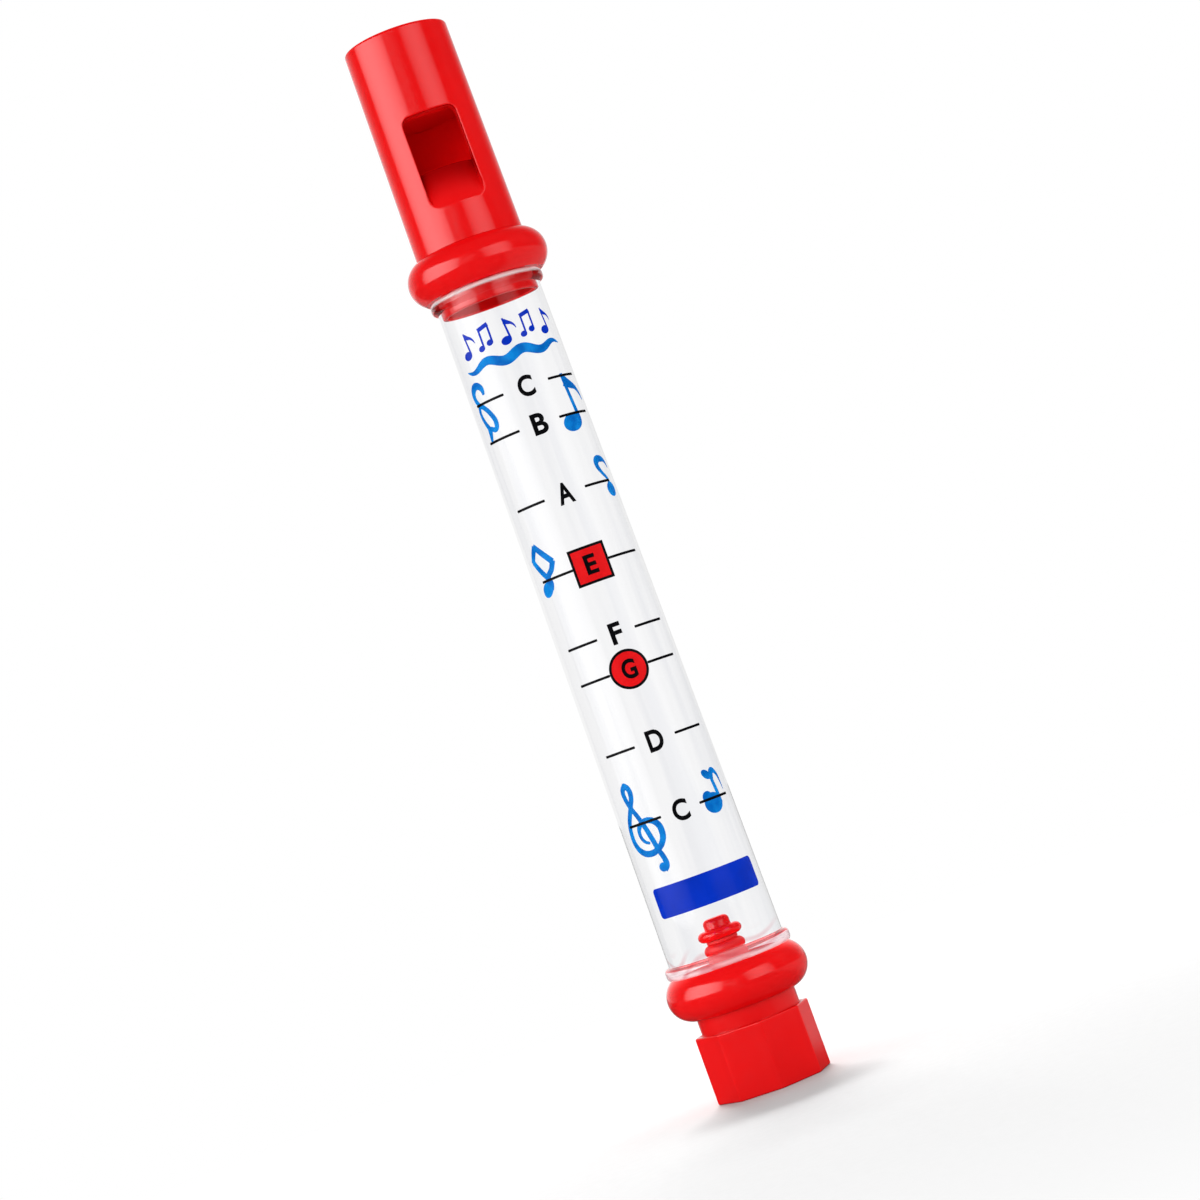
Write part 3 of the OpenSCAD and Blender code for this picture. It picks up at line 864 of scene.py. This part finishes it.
class FLUTE_OT_tap_knob(FlutePiece, bpy.types.Operator):
    """Model the octagonal tap knob with its hub and drain holes"""

    bl_idname = "flute.tap_knob"
    bl_label = "Tap knob"

    def execute(self, context):
        s = sizes()
        bpy.ops.object.select_all(action="DESELECT")
        corner = s.knob_flats / 2 / math.cos(math.pi / 8)
        bpy.ops.mesh.primitive_cylinder_add(vertices=8, radius=corner, depth=KNOB_TOP,
                                            location=(0, 0, KNOB_TOP / 2))
        piece = bpy.context.object
        piece.name = piece.data.name = "tap_knob_moulding"
        bpy.ops.object.transform_apply(location=True)

        def upright(edge):
            a, b = (piece.data.vertices[v].co for v in edge.vertices)
            return abs(a.z - b.z) > KNOB_TOP / 2

        pick(piece, "edges", upright)
        bpy.ops.mesh.bevel(offset=s.knob_edge, segments=3, affect="EDGES")

        def level(edge):
            a, b = (piece.data.vertices[v].co for v in edge.vertices)
            return abs(a.z - b.z) < SAME

        pick(piece, "edges", level)
        bpy.ops.mesh.bevel(offset=s.knob_rim, segments=3, affect="EDGES")
        bpy.ops.object.mode_set(mode="OBJECT")
        for cutter in (self.cavity(s), *self.drains(s)):
            applied(piece, "BOOLEAN", object=cutter, operation="DIFFERENCE", solver="EXACT")
            bpy.data.objects.remove(cutter)
        tidy_shell(piece)
        smoothed(piece)
        dressed(piece, "knob", "tap_knob", stock(moulded_abs))
        return {"FINISHED"}

    def cavity(self, s):
        """The space inside the knob, turned in one: screw bore, hub, stem hole and recess."""
        neck, bore = s.neck_d / 2 + PLAY, s.thread_d / 2 + PLAY
        hub, stem, recess = s.hub_d / 2, s.stem_d / 2 + GLUE_FIT, 3.1 * MM
        soft = 0.25 * MM
        screw_top, hub_top, end_wall, recess_top = 8 * MM, 6 * MM, 2.2 * MM, 1.6 * MM
        # The cutter runs on past both ends of the knob
        high, low = KNOB_TOP + 1 * MM, -1 * MM
        section = [(0, high), (neck + soft, high), (neck + soft, KNOB_TOP), (neck, KNOB_TOP - soft),
                   (neck, screw_top), (bore, screw_top), (bore, end_wall), (hub, end_wall),
                   (hub, hub_top - soft), (hub - soft, hub_top), (stem, hub_top), (stem, recess_top),
                   (recess, recess_top), (recess, soft), (recess + soft, 0), (recess + soft, low),
                   (0, low)]
        return turned("cavity", section, closed=False)

    def drains(self, s):
        # Midway between the hub and the screw's bore
        pitch = (s.hub_d + s.thread_d) / 4 + PLAY / 2
        for k in range(4):
            turn = math.radians(90 * k)
            place = (pitch * math.cos(turn), pitch * math.sin(turn), 0)
            bpy.ops.object.select_all(action="DESELECT")
            bpy.ops.mesh.primitive_cylinder_add(vertices=48, radius=s.drain_d / 2, depth=5 * MM,
                                                location=place)
            bpy.ops.object.transform_apply(location=True)
            yield bpy.context.object


class FLUTE_OT_gaskets(FlutePiece, bpy.types.Operator):
    """Give the two gaskets their silicone"""

    bl_idname = "flute.gaskets"
    bl_label = "Gaskets"

    def execute(self, context):
        made = stock(soft_rubber, "Milky silicone, moulded", tuple(colours().gasket), 0.94)
        for name in ("upper_gasket", "lower_gasket"):
            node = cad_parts[name]
            node.data.materials.clear()
            node.data.materials.append(made)
        return {"FINISHED"}


# Printing


def wrapped(item, angle, z, layer=0):
    """Lays a flat mark, drawn round its middle and facing -Y, on the tube at an angle and height."""
    radius = tube_r(z) + INK_GAP + layer * INK_LAYER
    wide = [v.co.x for v in item.data.vertices]
    cuts = int((max(wide) - min(wide)) / (0.5 * MM))
    only(item)
    bpy.ops.object.mode_set(mode="EDIT")
    bpy.ops.mesh.select_mode(type="VERT")
    for k in range(1, cuts + 1):
        bpy.ops.mesh.select_all(action="SELECT")
        at = min(wide) + (max(wide) - min(wide)) * k / (cuts + 1)
        bpy.ops.mesh.bisect(plane_co=(at, 0, 0), plane_no=(1, 0, 0))
    bpy.ops.object.mode_set(mode="OBJECT")
    item.rotation_euler = (-math.atan2(tube_r(0) - tube_r(1), 1), 0, 0)
    bpy.ops.object.transform_apply(rotation=True)
    applied(item, "SIMPLE_DEFORM", deform_method="BEND", deform_axis="Z",
            angle=(max(wide) - min(wide)) / radius)
    item.location = (0, -radius, z)
    bpy.ops.object.transform_apply(location=True)
    item.rotation_euler = (0, 0, math.radians(angle))
    bpy.ops.object.transform_apply(rotation=True)
    return item


def printed(name, items, ink):
    """Joins wrapped marks of one ink into a piece, as a film with a thickness."""
    bpy.ops.object.select_all(action="DESELECT")
    for item in items:
        item.select_set(True)
    piece = items[0]
    bpy.context.view_layer.objects.active = piece
    if len(items) > 1:
        bpy.ops.object.join()
    piece.name = piece.data.name = name
    applied(piece, "SOLIDIFY", thickness=INK_FILM, offset=0)
    tidy_shell(piece)
    smoothed(piece)
    piece.data.materials.clear()
    piece.data.materials.append(ink)
    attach(piece, "flute_body")
    return piece


def flat(make, **fields):
    """A flat primitive that faces the front, with its place in its mesh."""
    bpy.ops.object.select_all(action="DESELECT")
    make(rotation=(math.pi / 2, 0, 0), **fields)
    bpy.ops.object.transform_apply(location=True, rotation=True, scale=True)
    return bpy.context.object


def rectangle(wide, high):
    item = flat(bpy.ops.mesh.primitive_plane_add, size=1)
    item.scale = (wide, 1, high)
    bpy.ops.object.transform_apply(scale=True)
    return item


def rounded_rectangle(wide, high, radius):
    item = rectangle(wide, high)
    pick(item, "vertices", lambda v: True)
    bpy.ops.mesh.bevel(offset=radius, segments=6, affect="VERTICES")
    bpy.ops.object.mode_set(mode="OBJECT")
    return item


def disc(radius, x=0, z=0, squash=1, tilt=0):
    """A filled ellipse, squashed upright and then tilted, moved to (x, z)."""
    item = flat(bpy.ops.mesh.primitive_circle_add, vertices=48, radius=radius, fill_type="NGON")
    item.scale = (1, 1, squash)
    bpy.ops.object.transform_apply(scale=True)
    item.rotation_euler = (0, -math.radians(tilt), 0)
    item.location = (x, 0, z)
    bpy.ops.object.transform_apply(location=True, rotation=True)
    return item


def outlined(item, thick):
    """Cuts the middle out of a flat mark, leaving an outline, and returns the middle as well."""
    only(item)
    bpy.ops.object.duplicate()
    middle = bpy.context.object
    for part, keep in ((middle, True), (item, False)):
        only(part)
        bpy.ops.object.mode_set(mode="EDIT")
        bpy.ops.mesh.select_mode(type="FACE")
        bpy.ops.mesh.select_all(action="SELECT")
        bpy.ops.mesh.inset(thickness=thick, depth=0)
        if keep:
            bpy.ops.mesh.select_all(action="INVERT")
        bpy.ops.mesh.delete(type="FACE")
        bpy.ops.object.mode_set(mode="OBJECT")
    return item, middle


# Blender's own font: the height of its capitals as a share of its size, how much they are thickened
# and narrowed, and the widest that one may be, as shares of its height
CAPITAL = 0.69
THICKENED = 0.045
NARROWED = 0.92
WIDEST = 0.75


def letter(sign, high):
    """A bold capital, centred, of this height and narrowed to a condensed letter."""
    bpy.ops.object.select_all(action="DESELECT")
    bpy.ops.object.text_add(rotation=(math.pi / 2, 0, 0))
    text = bpy.context.object
    text.data.body = sign
    text.data.size = high / CAPITAL
    text.data.offset = THICKENED * high
    text.data.resolution_u = 6
    bpy.ops.object.convert(target="MESH")
    item = bpy.context.object
    bpy.ops.object.transform_apply(location=True, rotation=True, scale=True)
    bpy.ops.object.mode_set(mode="EDIT")
    bpy.ops.mesh.select_all(action="SELECT")
    bpy.ops.mesh.remove_doubles(threshold=MERGE)
    bpy.ops.mesh.dissolve_limited(angle_limit=math.radians(0.5))
    bpy.ops.object.mode_set(mode="OBJECT")
    bpy.ops.object.origin_set(type="ORIGIN_GEOMETRY", center="BOUNDS")
    item.location = (0, 0, 0)
    wide = item.dimensions.x
    item.scale = (min(NARROWED, WIDEST * high / wide), 1, high / item.dimensions.z)
    bpy.ops.object.transform_apply(location=True, scale=True)
    return item


def stroke(points, widths):
    """A ribbon of varying width through points (x, z), all in millimetres."""
    bpy.ops.object.select_all(action="DESELECT")
    bpy.ops.curve.primitive_bezier_curve_add()
    line = bpy.context.object
    knots = line.data.splines[0].bezier_points
    knots.add(len(points) - len(knots))
    for knot, (x, z), wide in zip(knots, points, widths):
        knot.co = (x * MM, z * MM, 0)
        knot.handle_left_type = knot.handle_right_type = "AUTO"
        knot.radius = wide
        knot.tilt = math.pi / 2
    line.data.twist_mode = "Z_UP"
    line.data.extrude = 0.5 * MM
    line.data.resolution_u = 8
    bpy.ops.object.convert(target="MESH")
    item = bpy.context.object
    item.rotation_euler = (math.pi / 2, 0, 0)
    bpy.ops.object.transform_apply(location=True, rotation=True, scale=True)
    return item


class FLUTE_OT_scale(FlutePiece, bpy.types.Operator):
    """Print the note lines and letters"""

    bl_idname = "flute.scale"
    bl_label = "Note lines and letters"

    # Where each line starts and ends, in degrees either side of the letters
    starts = (25, 22, 22, 19, 20, 20, 21, 20)
    ends = (66, 66, 60, 60, 58, 58, 58, 60)

    def execute(self, context):
        s = sizes()
        lines, letters = [], []
        for line, (start, end, sign) in enumerate(zip(self.starts, self.ends, colours().letters)):
            z = NOTE_LINES[line] * MM
            high = s.badge_letter_h if line in (SQUARE_LINE, CIRCLE_LINE) else s.letter_h
            wide = math.radians(end - start) * tube_r(z)
            for side in (-1, 1):
                mark = rounded_rectangle(wide, s.line_w, 0.15 * MM)
                lines.append(wrapped(mark, PRINT_TURN + side * (start + end) / 2, z, 2))
            letters.append(wrapped(letter(sign, high), PRINT_TURN, z, 3))
        printed("note_lines_ink", lines, black_ink())
        printed("note_letters_ink", letters, black_ink())
        return {"FINISHED"}


class FLUTE_OT_badges(FlutePiece, bpy.types.Operator):
    """Print the square and the round badge"""

    bl_idname = "flute.badges"
    bl_label = "Badges"

    def execute(self, context):
        s = sizes()
        square = outlined(rectangle(s.badge_side, s.badge_side), s.badge_line)
        circle = outlined(disc(s.badge_r), s.badge_line)
        outlines, middles = [], []
        for (outline, middle), line in ((square, SQUARE_LINE), (circle, CIRCLE_LINE)):
            outlines.append(wrapped(outline, PRINT_TURN, NOTE_LINES[line] * MM, 2))
            middles.append(wrapped(middle, PRINT_TURN, NOTE_LINES[line] * MM, 2))
        printed("badge_outlines_ink", outlines, black_ink())
        printed("badges_ink", middles, badge_ink())
        return {"FINISHED"}


# Music figures in millimetres round their middles: ribbons as (points, widths), and heads as
# (radius, x, z, squash, tilt)
TREBLE_CLEF = (
    [([(0.4, -2.85), (-0.7, -2.2), (-1.2, -0.8), (-0.75, 0.45), (0.4, 1.1), (1.65, 1.15), (3.0, 0.25),
       (3.45, -1.4), (2.9, -3.2), (1.5, -4.3), (-0.3, -4.65), (-2.2, -3.9), (-3.3, -2.35),
       (-3.45, -0.5), (-2.9, 1.5), (-1.95, 3.1), (-0.9, 4.7), (-0.2, 6.2), (-0.25, 7.6), (-0.9, 8.3)],
      [0.5, 0.7, 0.85, 1.0, 1.1, 1.15, 1.2, 1.2, 1.15, 1.15, 1.2, 1.25, 1.25, 1.2, 1.1, 1.05, 1.05,
       1.1, 1.15, 1.15]),
     ([(-0.9, 8.3), (-1.7, 7.5), (-1.75, 6.1), (-1.25, 4.4), (-0.3, 2.35), (0.4, 0.4), (1.1, -2.2),
       (1.6, -4.4), (2.15, -6.2), (2.15, -7.5), (1.45, -8.2)],
      [1.15, 1.1, 1.05, 1.0, 1.0, 1.05, 1.05, 1.0, 1.05, 1.1, 1.1])],
    [(0.9, 1.4, -7.6, 0.95, 0), (0.58, -0.9, 8.28, 1, 0)],
)
LOOP_CLEF = (
    [([(1.2, 3.2), (1.05, 4.5), (0.0, 5.2), (-1.15, 4.75), (-1.7, 3.5), (-1.1, 2.05), (0.25, 0.9),
       (1.35, -0.7), (1.8, -2.25), (1.25, -3.4), (0.2, -3.1)],
      [0.6, 1.2, 1.4, 1.4, 1.2, 1.0, 1.0, 1.05, 1.1, 1.0, 0.9]),
     ([(-1.1, 1.7), (-1.45, 0.2), (-1.0, -1.6), (-0.35, -2.9)], [0.85, 0.8, 0.9, 1.1]),
     ([(-0.2, -2.5), (-0.55, -3.9), (-0.9, -5.2)], [1.5, 1.1, 0.7])],
    [],
)
QUAVER = (
    [([(0.9, -3.9), (0.5, 0.5), (0.15, 4.9)], [0.95, 0.85, 0.8]),
     ([(0.2, 3.5), (1.6, 2.7), (3.0, 2.0), (4.05, 0.7), (4.4, -0.5)], [2.3, 1.7, 1.1, 0.7, 0.25])],
    [(2.3, -0.95, -4.2, 0.74, 15)],
)
HOOKED_NOTE = (
    [([(2.4, 1.4), (1.75, 2.7), (0.35, 3.3), (-1.0, 3.1), (-1.3, 2.2), (-0.65, 0.8), (0.55, -0.7),
       (0.7, -2.0)],
      [0.25, 0.8, 1.3, 1.4, 1.15, 0.85, 0.75, 0.75])],
    [(1.4, 0.7, -2.6, 1, 0)],
)
KITE_NOTE = (
    [([(0.2, -2.2), (-1.25, -0.25), (-2.4, 1.6)], [1.15, 1.15, 1.2]),
     ([(-2.55, 1.3), (-1.6, 2.75), (-0.6, 4.1)], [1.15, 1.15, 1.2]),
     ([(-0.85, 4.2), (0.9, 2.2), (2.45, 0.35)], [1.15, 1.2, 1.2]),
     ([(2.5, 0.6), (1.6, -0.9), (0.3, -2.1), (0.4, -3.2), (-0.2, -4.1)], [1.15, 1.1, 1.1, 1.4, 1.8])],
    [(1.6, -0.9, -4.1, 0.78, 35)],
)
TWIN_LEAF_NOTE = (
    [([(1.0, -2.4), (0.95, -0.5), (0.65, 2.3)], [0.95, 0.9, 0.8]),
     ([(0.65, 2.2), (1.4, 3.55), (2.3, 3.1), (2.9, 1.4), (3.05, -0.3)], [1.0, 1.3, 0.8, 0.4, 0.15])],
    [(2.15, -0.75, -2.0, 0.88, 8), (1.15, -1.7, -0.75, 1, 0), (1.2, -0.3, 3.2, 0.66, -40)],
)
BEAMED_PAIR = (
    [([(-1.5, -3.6), (-1.5, 4.0)], [0.85, 0.85]), ([(2.6, -2.4), (2.6, 5.0)], [0.85, 0.85]),
     ([(-1.9, 3.6), (3.0, 4.9)], [1.7, 1.7])],
    [(1.5, -2.5, -3.8, 0.8, 20), (1.5, 1.6, -2.6, 0.8, 20)],
)


def figure(shape, scale, angle, z):
    """Wrapped marks of a music figure, scaled and set on the tube."""
    ribbons, heads = shape
    made = [stroke(points, widths) for points, widths in ribbons]
    made += [disc(r * MM, x * MM, h * MM, squash, tilt) for r, x, h, squash, tilt in heads]
    laid = []
    for k, item in enumerate(made):
        only(item)
        item.scale = (scale, 1, scale)
        bpy.ops.object.transform_apply(scale=True)
        laid.append(wrapped(item, angle, z, 0.2 * k))
    return laid


class FLUTE_OT_notes(FlutePiece, bpy.types.Operator):
    """Print the light blue music notes"""

    bl_idname = "flute.notes"
    bl_label = "Music notes"

    # Shape, angle from the front and height in mm
    places = ((LOOP_CLEF, -57.3, 131.6), (QUAVER, 40.9, 128.9), (HOOKED_NOTE, 52.8, 113.75),
              (KITE_NOTE, -52.7, 101.8), (TREBLE_CLEF, -44.8, 51.6), (TWIN_LEAF_NOTE, 38.6, 53.7))

    def execute(self, context):
        marks = []
        for shape, angle, z in self.places:
            marks += figure(shape, 1, angle, z * MM)
        printed("music_notes_ink", marks, note_ink())
        return {"FINISHED"}


class FLUTE_OT_bands(FlutePiece, bpy.types.Operator):
    """Print the blue bar at the foot and the ripple and notes at the head of the scale"""

    bl_idname = "flute.bands"
    bl_label = "Bar and header"

    # The bar's lower and upper edge and corners, and how far round it runs and to the left it sits
    bar_low, bar_high, bar_corner = 35.05 * MM, 40.7 * MM, 0.8 * MM
    bar_turn, bar_left = 119, 0.6
    # The ripple in mm: its height on the tube, how far it reaches to each side, how far it swings
    # and its width at the ends and in the middle
    ripple_z, ripple_half, ripple_swing, ripple_thin, ripple_thick = 139.6, 10.5, 0.55, 0.2, 1.9
    ripple_steps = 28
    # The row of notes: its height in mm, its scale, and each shape's angle from the middle
    row_z, row_scale = 144.2, 0.45
    row = ((-48, QUAVER), (-24, BEAMED_PAIR), (0, QUAVER), (24, BEAMED_PAIR), (48, QUAVER))

    def execute(self, context):
        mid = (self.bar_low + self.bar_high) / 2
        wide = math.radians(self.bar_turn) * tube_r(mid)
        bar = rounded_rectangle(wide, self.bar_high - self.bar_low, self.bar_corner)
        printed("foot_bar_ink", [wrapped(bar, PRINT_TURN - self.bar_left, mid)], bar_ink())
        ripple = wrapped(self.ripple(), PRINT_TURN, self.ripple_z * MM)
        printed("header_ripple_ink", [ripple], note_ink())
        marks = []
        for angle, shape in self.row:
            marks += figure(shape, self.row_scale, PRINT_TURN + angle, self.row_z * MM)
        printed("header_notes_ink", marks, bar_ink())
        return {"FINISHED"}

    def ripple(self):
        """A waving ribbon that thins out to both ends, about three waves long."""
        share = [k / self.ripple_steps for k in range(self.ripple_steps + 1)]
        across = [(2 * t - 1) * self.ripple_half for t in share]
        points = [(x, self.ripple_swing * math.sin(0.9 * x)) for x in across]
        swell = self.ripple_thick - self.ripple_thin
        widths = [self.ripple_thin + swell * math.sin(math.pi * t) ** 0.7 for t in share]
        return stroke(points, widths)


# Stage


def aimed(x, y, z):
    """Turn of a lamp in this place that points it at the flute's middle."""
    return (Vector((0, 0, 100 * MM)) - Vector((x, y, z))).to_track_quat("-Z", "Y").to_euler()


class FLUTE_OT_stage(FlutePiece, bpy.types.Operator):
    """Set up the camera, the lamps, the white world and the pale floor"""

    bl_idname = "flute.stage"
    bl_label = "Stage"

    def execute(self, context):
        scene = context.scene
        scene.view_settings.view_transform = "Standard"
        self.camera(scene)
        self.lamps()
        self.world(scene)
        self.floor()
        return {"FINISHED"}

    def camera(self, scene):
        side, tilt, roll = math.radians(-7), math.radians(-2.7), math.radians(20)
        height, right_of, away = 93.15 * MM, 0.22 * MM, 600.6 * MM
        back = Vector((math.sin(side) * math.cos(tilt), -math.cos(side) * math.cos(tilt),
                       math.sin(tilt)))
        level = Vector((math.cos(side), math.sin(side), 0))
        above = back.cross(level)
        right = level * math.cos(roll) - above * math.sin(roll)
        up = level * math.sin(roll) + above * math.cos(roll)
        place = Vector((0, 0, height)) + level * right_of + back * away
        bpy.ops.object.camera_add()
        camera = bpy.context.object
        camera.data.lens = 99
        camera.data.sensor_width = 36
        camera.data.clip_start = 0.01
        camera.matrix_world = Matrix((
            (right.x, up.x, back.x, place.x),
            (right.y, up.y, back.y, place.y),
            (right.z, up.z, back.z, place.z),
            (0, 0, 0, 1)))
        scene.camera = camera

    def lamps(self):
        # Name, azimuth from the front, height, distance, width and height of the face, power, and
        # what it lights: the softboxes show in the gloss alone
        boxes = (
            ("Left softbox", -69, 0.24, 0.8, 1.2, 0.9, 12.5, "gloss"),
            ("Right softbox", 33, 0.30, 0.9, 0.85, 0.9, 3.7, "gloss"),
            ("Key", -24, 0.42, 1.1, 0.6, 0.6, 5.2, "body"),
            ("Left rim", -112, 0.5, 1.0, 1.5, 1.2, 4.5, "body"),
            ("Right rim", 112, 0.5, 1.0, 1.5, 1.2, 7.5, "body"),
            ("Back", 176, 0.62, 0.8, 0.4, 0.3, 21, "body"),
        )
        for name, turn, rise, away, wide, high, watts, lights in boxes:
            a = math.radians(turn)
            place = (away * math.sin(a), -away * math.cos(a), rise)
            bpy.ops.object.light_add(type="AREA", location=place, rotation=aimed(*place))
            lamp = bpy.context.object
            lamp.name = name
            lamp.data.shape = "RECTANGLE"
            lamp.data.size, lamp.data.size_y = wide, high
            lamp.data.energy = watts
            lamp.visible_camera = False
            lamp.visible_transmission = False
            lamp.visible_diffuse = lights == "body"
            lamp.visible_glossy = lights == "gloss"
            if lights == "gloss":
                self.hot_middle(lamp.data)

    def hot_middle(self, lamp):
        """Makes a softbox fade towards its sides, as one with a single tube inside does."""
        lamp.use_nodes = True
        tree = lamp.node_tree
        tree.nodes.clear()
        face = add(tree, "ShaderNodeNewGeometry").outputs["Parametric"]
        across = add(tree, "ShaderNodeSeparateXYZ", {}, {0: face}).outputs["X"]
        off = add(tree, "ShaderNodeMath", {"operation": "SUBTRACT"}, {0: across, 1: 0.5})
        square = add(tree, "ShaderNodeMath", {"operation": "POWER"}, {0: off, 1: 2})
        level = add(tree, "ShaderNodeMapRange", {},
                    {"Value": square, "From Min": 0, "From Max": 0.25, "To Min": 1,
                     "To Max": 0.2})
        glow = add(tree, "ShaderNodeEmission", {}, {"Strength": level})
        add(tree, "ShaderNodeOutputLight", {}, {"Surface": glow})

    def world(self, scene):
        made = bpy.data.worlds.new("White studio")
        made.use_nodes = True
        tree = made.node_tree
        tree.nodes.clear()
        path = add(tree, "ShaderNodeLightPath").outputs
        seen = add(tree, "ShaderNodeMath", {"operation": "MAXIMUM"},
                   {0: path["Is Camera Ray"], 1: path["Is Transmission Ray"]})
        towards = add(tree, "ShaderNodeTexCoord").outputs["Generated"]
        split = add(tree, "ShaderNodeSeparateXYZ", {}, {0: towards})
        # The gloss sees a dim room in front, so that the softboxes show by themselves, and the white
        # backdrop behind, also when it is seen through the tube
        behind = add(tree, "ShaderNodeMapRange", {},
                     {"Value": split.outputs["Y"], "From Min": 0.35, "From Max": 1.0})
        rise = add(tree, "ShaderNodeMath", {"operation": "POWER"}, {0: behind, 1: 2})
        backdrop = add(tree, "ShaderNodeMath", {"operation": "MULTIPLY_ADD"},
                       {0: rise, 1: 0.85, 2: 0.03})
        soft = add(tree, "ShaderNodeMix", {"data_type": "FLOAT"},
                   {0: path["Is Glossy Ray"], 2: 0.76, 3: backdrop})
        level = add(tree, "ShaderNodeMix", {"data_type": "FLOAT"}, {0: seen, 2: soft, 3: 1.0})
        light = add(tree, "ShaderNodeBackground", {}, {"Color": (1, 1, 1, 1), "Strength": level})
        add(tree, "ShaderNodeOutputWorld", {}, {"Surface": light})
        scene.world = made

    def floor(self):
        bpy.ops.object.select_all(action="DESELECT")
        bpy.ops.mesh.primitive_plane_add(size=6)
        ground = bpy.context.object
        ground.name = "Floor"
        made, tree, place = blank("White paper sweep")
        grain = add(tree, "ShaderNodeTexNoise", {},
                    {"Vector": place, "Scale": 1 / (2 * MM), "Detail": 3})
        tone = add(tree, "ShaderNodeMix", {"data_type": "RGBA"},
                   {0: grain.outputs["Fac"], 6: (*linear("#B0B0B0"), 1), 7: (*linear("#B6B6B6"), 1)})
        paper = add(tree, "ShaderNodeBsdfPrincipled", {},
                    {"Base Color": tone.outputs[2], "Roughness": 0.9, "Specular IOR Level": 0.1})
        # Away from the flute the paper runs out into plain white, as a lit sweep does
        away = add(tree, "ShaderNodeVectorMath", {"operation": "LENGTH"}, {0: place})
        fade = add(tree, "ShaderNodeMapRange", {"interpolation_type": "SMOOTHSTEP"},
                   {"Value": away.outputs["Value"], "From Min": 0.06, "From Max": 0.3})
        path = add(tree, "ShaderNodeLightPath").outputs
        seen = add(tree, "ShaderNodeMath", {"operation": "MAXIMUM"},
                   {0: path["Is Camera Ray"], 1: path["Is Transmission Ray"]})
        share = add(tree, "ShaderNodeMath", {"operation": "MULTIPLY"}, {0: fade, 1: seen})
        white = add(tree, "ShaderNodeEmission", {}, {"Color": (1, 1, 1, 1), "Strength": 1.0})
        both = add(tree, "ShaderNodeMixShader", {}, {0: share, 1: paper, 2: white})
        # The gloss of the knob sees next to nothing of the paper, so its red stays deep, but for the
        # right side, which mirrors the lit paper behind
        aside = add(tree, "ShaderNodeVectorMath", {"operation": "DOT_PRODUCT"},
                    {0: place, 1: (0.8, 0.6, 0)})
        lit = add(tree, "ShaderNodeMapRange", {"interpolation_type": "SMOOTHSTEP"},
                  {"Value": aside.outputs["Value"], "From Min": 0.02, "From Max": 0.07,
                   "To Min": 0.05, "To Max": 0.28})
        dim = add(tree, "ShaderNodeEmission", {}, {"Color": (1, 1, 1, 1), "Strength": lit})
        mirrored = add(tree, "ShaderNodeMath", {"operation": "SUBTRACT", "use_clamp": True},
                       {0: path["Is Glossy Ray"], 1: path["Is Transmission Ray"]})
        last = add(tree, "ShaderNodeMixShader", {}, {0: mirrored, 1: both, 2: dim})
        add(tree, "ShaderNodeOutputMaterial", {}, {"Surface": last})
        ground.data.materials.append(made)


class FLUTE_PT_pieces(bpy.types.Panel):
    """The flute's pieces, sizes and colours"""

    bl_idname = "FLUTE_PT_pieces"
    bl_label = "Bath flute"
    bl_space_type = "VIEW_3D"
    bl_region_type = "UI"
    bl_category = "Bath flute"

    def draw(self, context):
        for kind in OPERATORS:
            self.layout.operator(kind.bl_idname)
        for group in (context.scene.flute_sizes, context.scene.flute_colours):
            column = self.layout.column(align=True)
            for name in group.__annotations__:
                column.prop(group, name)


OPERATORS = (FLUTE_OT_stage, FLUTE_OT_mouthpiece, FLUTE_OT_fipple_block, FLUTE_OT_tube,
             FLUTE_OT_end_collar, FLUTE_OT_valve, FLUTE_OT_tap_knob, FLUTE_OT_gaskets,
             FLUTE_OT_scale, FLUTE_OT_badges, FLUTE_OT_notes, FLUTE_OT_bands)
CLASSES = (FluteSizes, FluteColours, *OPERATORS, FLUTE_PT_pieces)


def register():
    for kind in CLASSES:
        bpy.utils.register_class(kind)
    bpy.types.Scene.flute_sizes = bpy.props.PointerProperty(type=FluteSizes)
    bpy.types.Scene.flute_colours = bpy.props.PointerProperty(type=FluteColours)


def unregister():
    del bpy.types.Scene.flute_sizes
    del bpy.types.Scene.flute_colours
    for kind in reversed(CLASSES):
        bpy.utils.unregister_class(kind)


def main():
    register()
    bpy.ops.flute.stage()
    bpy.ops.flute.mouthpiece()
    bpy.ops.flute.fipple_block()
    bpy.ops.flute.tube()
    bpy.ops.flute.end_collar()
    bpy.ops.flute.valve()
    bpy.ops.flute.tap_knob()
    bpy.ops.flute.gaskets()
    bpy.ops.flute.scale()
    bpy.ops.flute.badges()
    bpy.ops.flute.notes()
    bpy.ops.flute.bands()


if __name__ == "__main__":
    main()
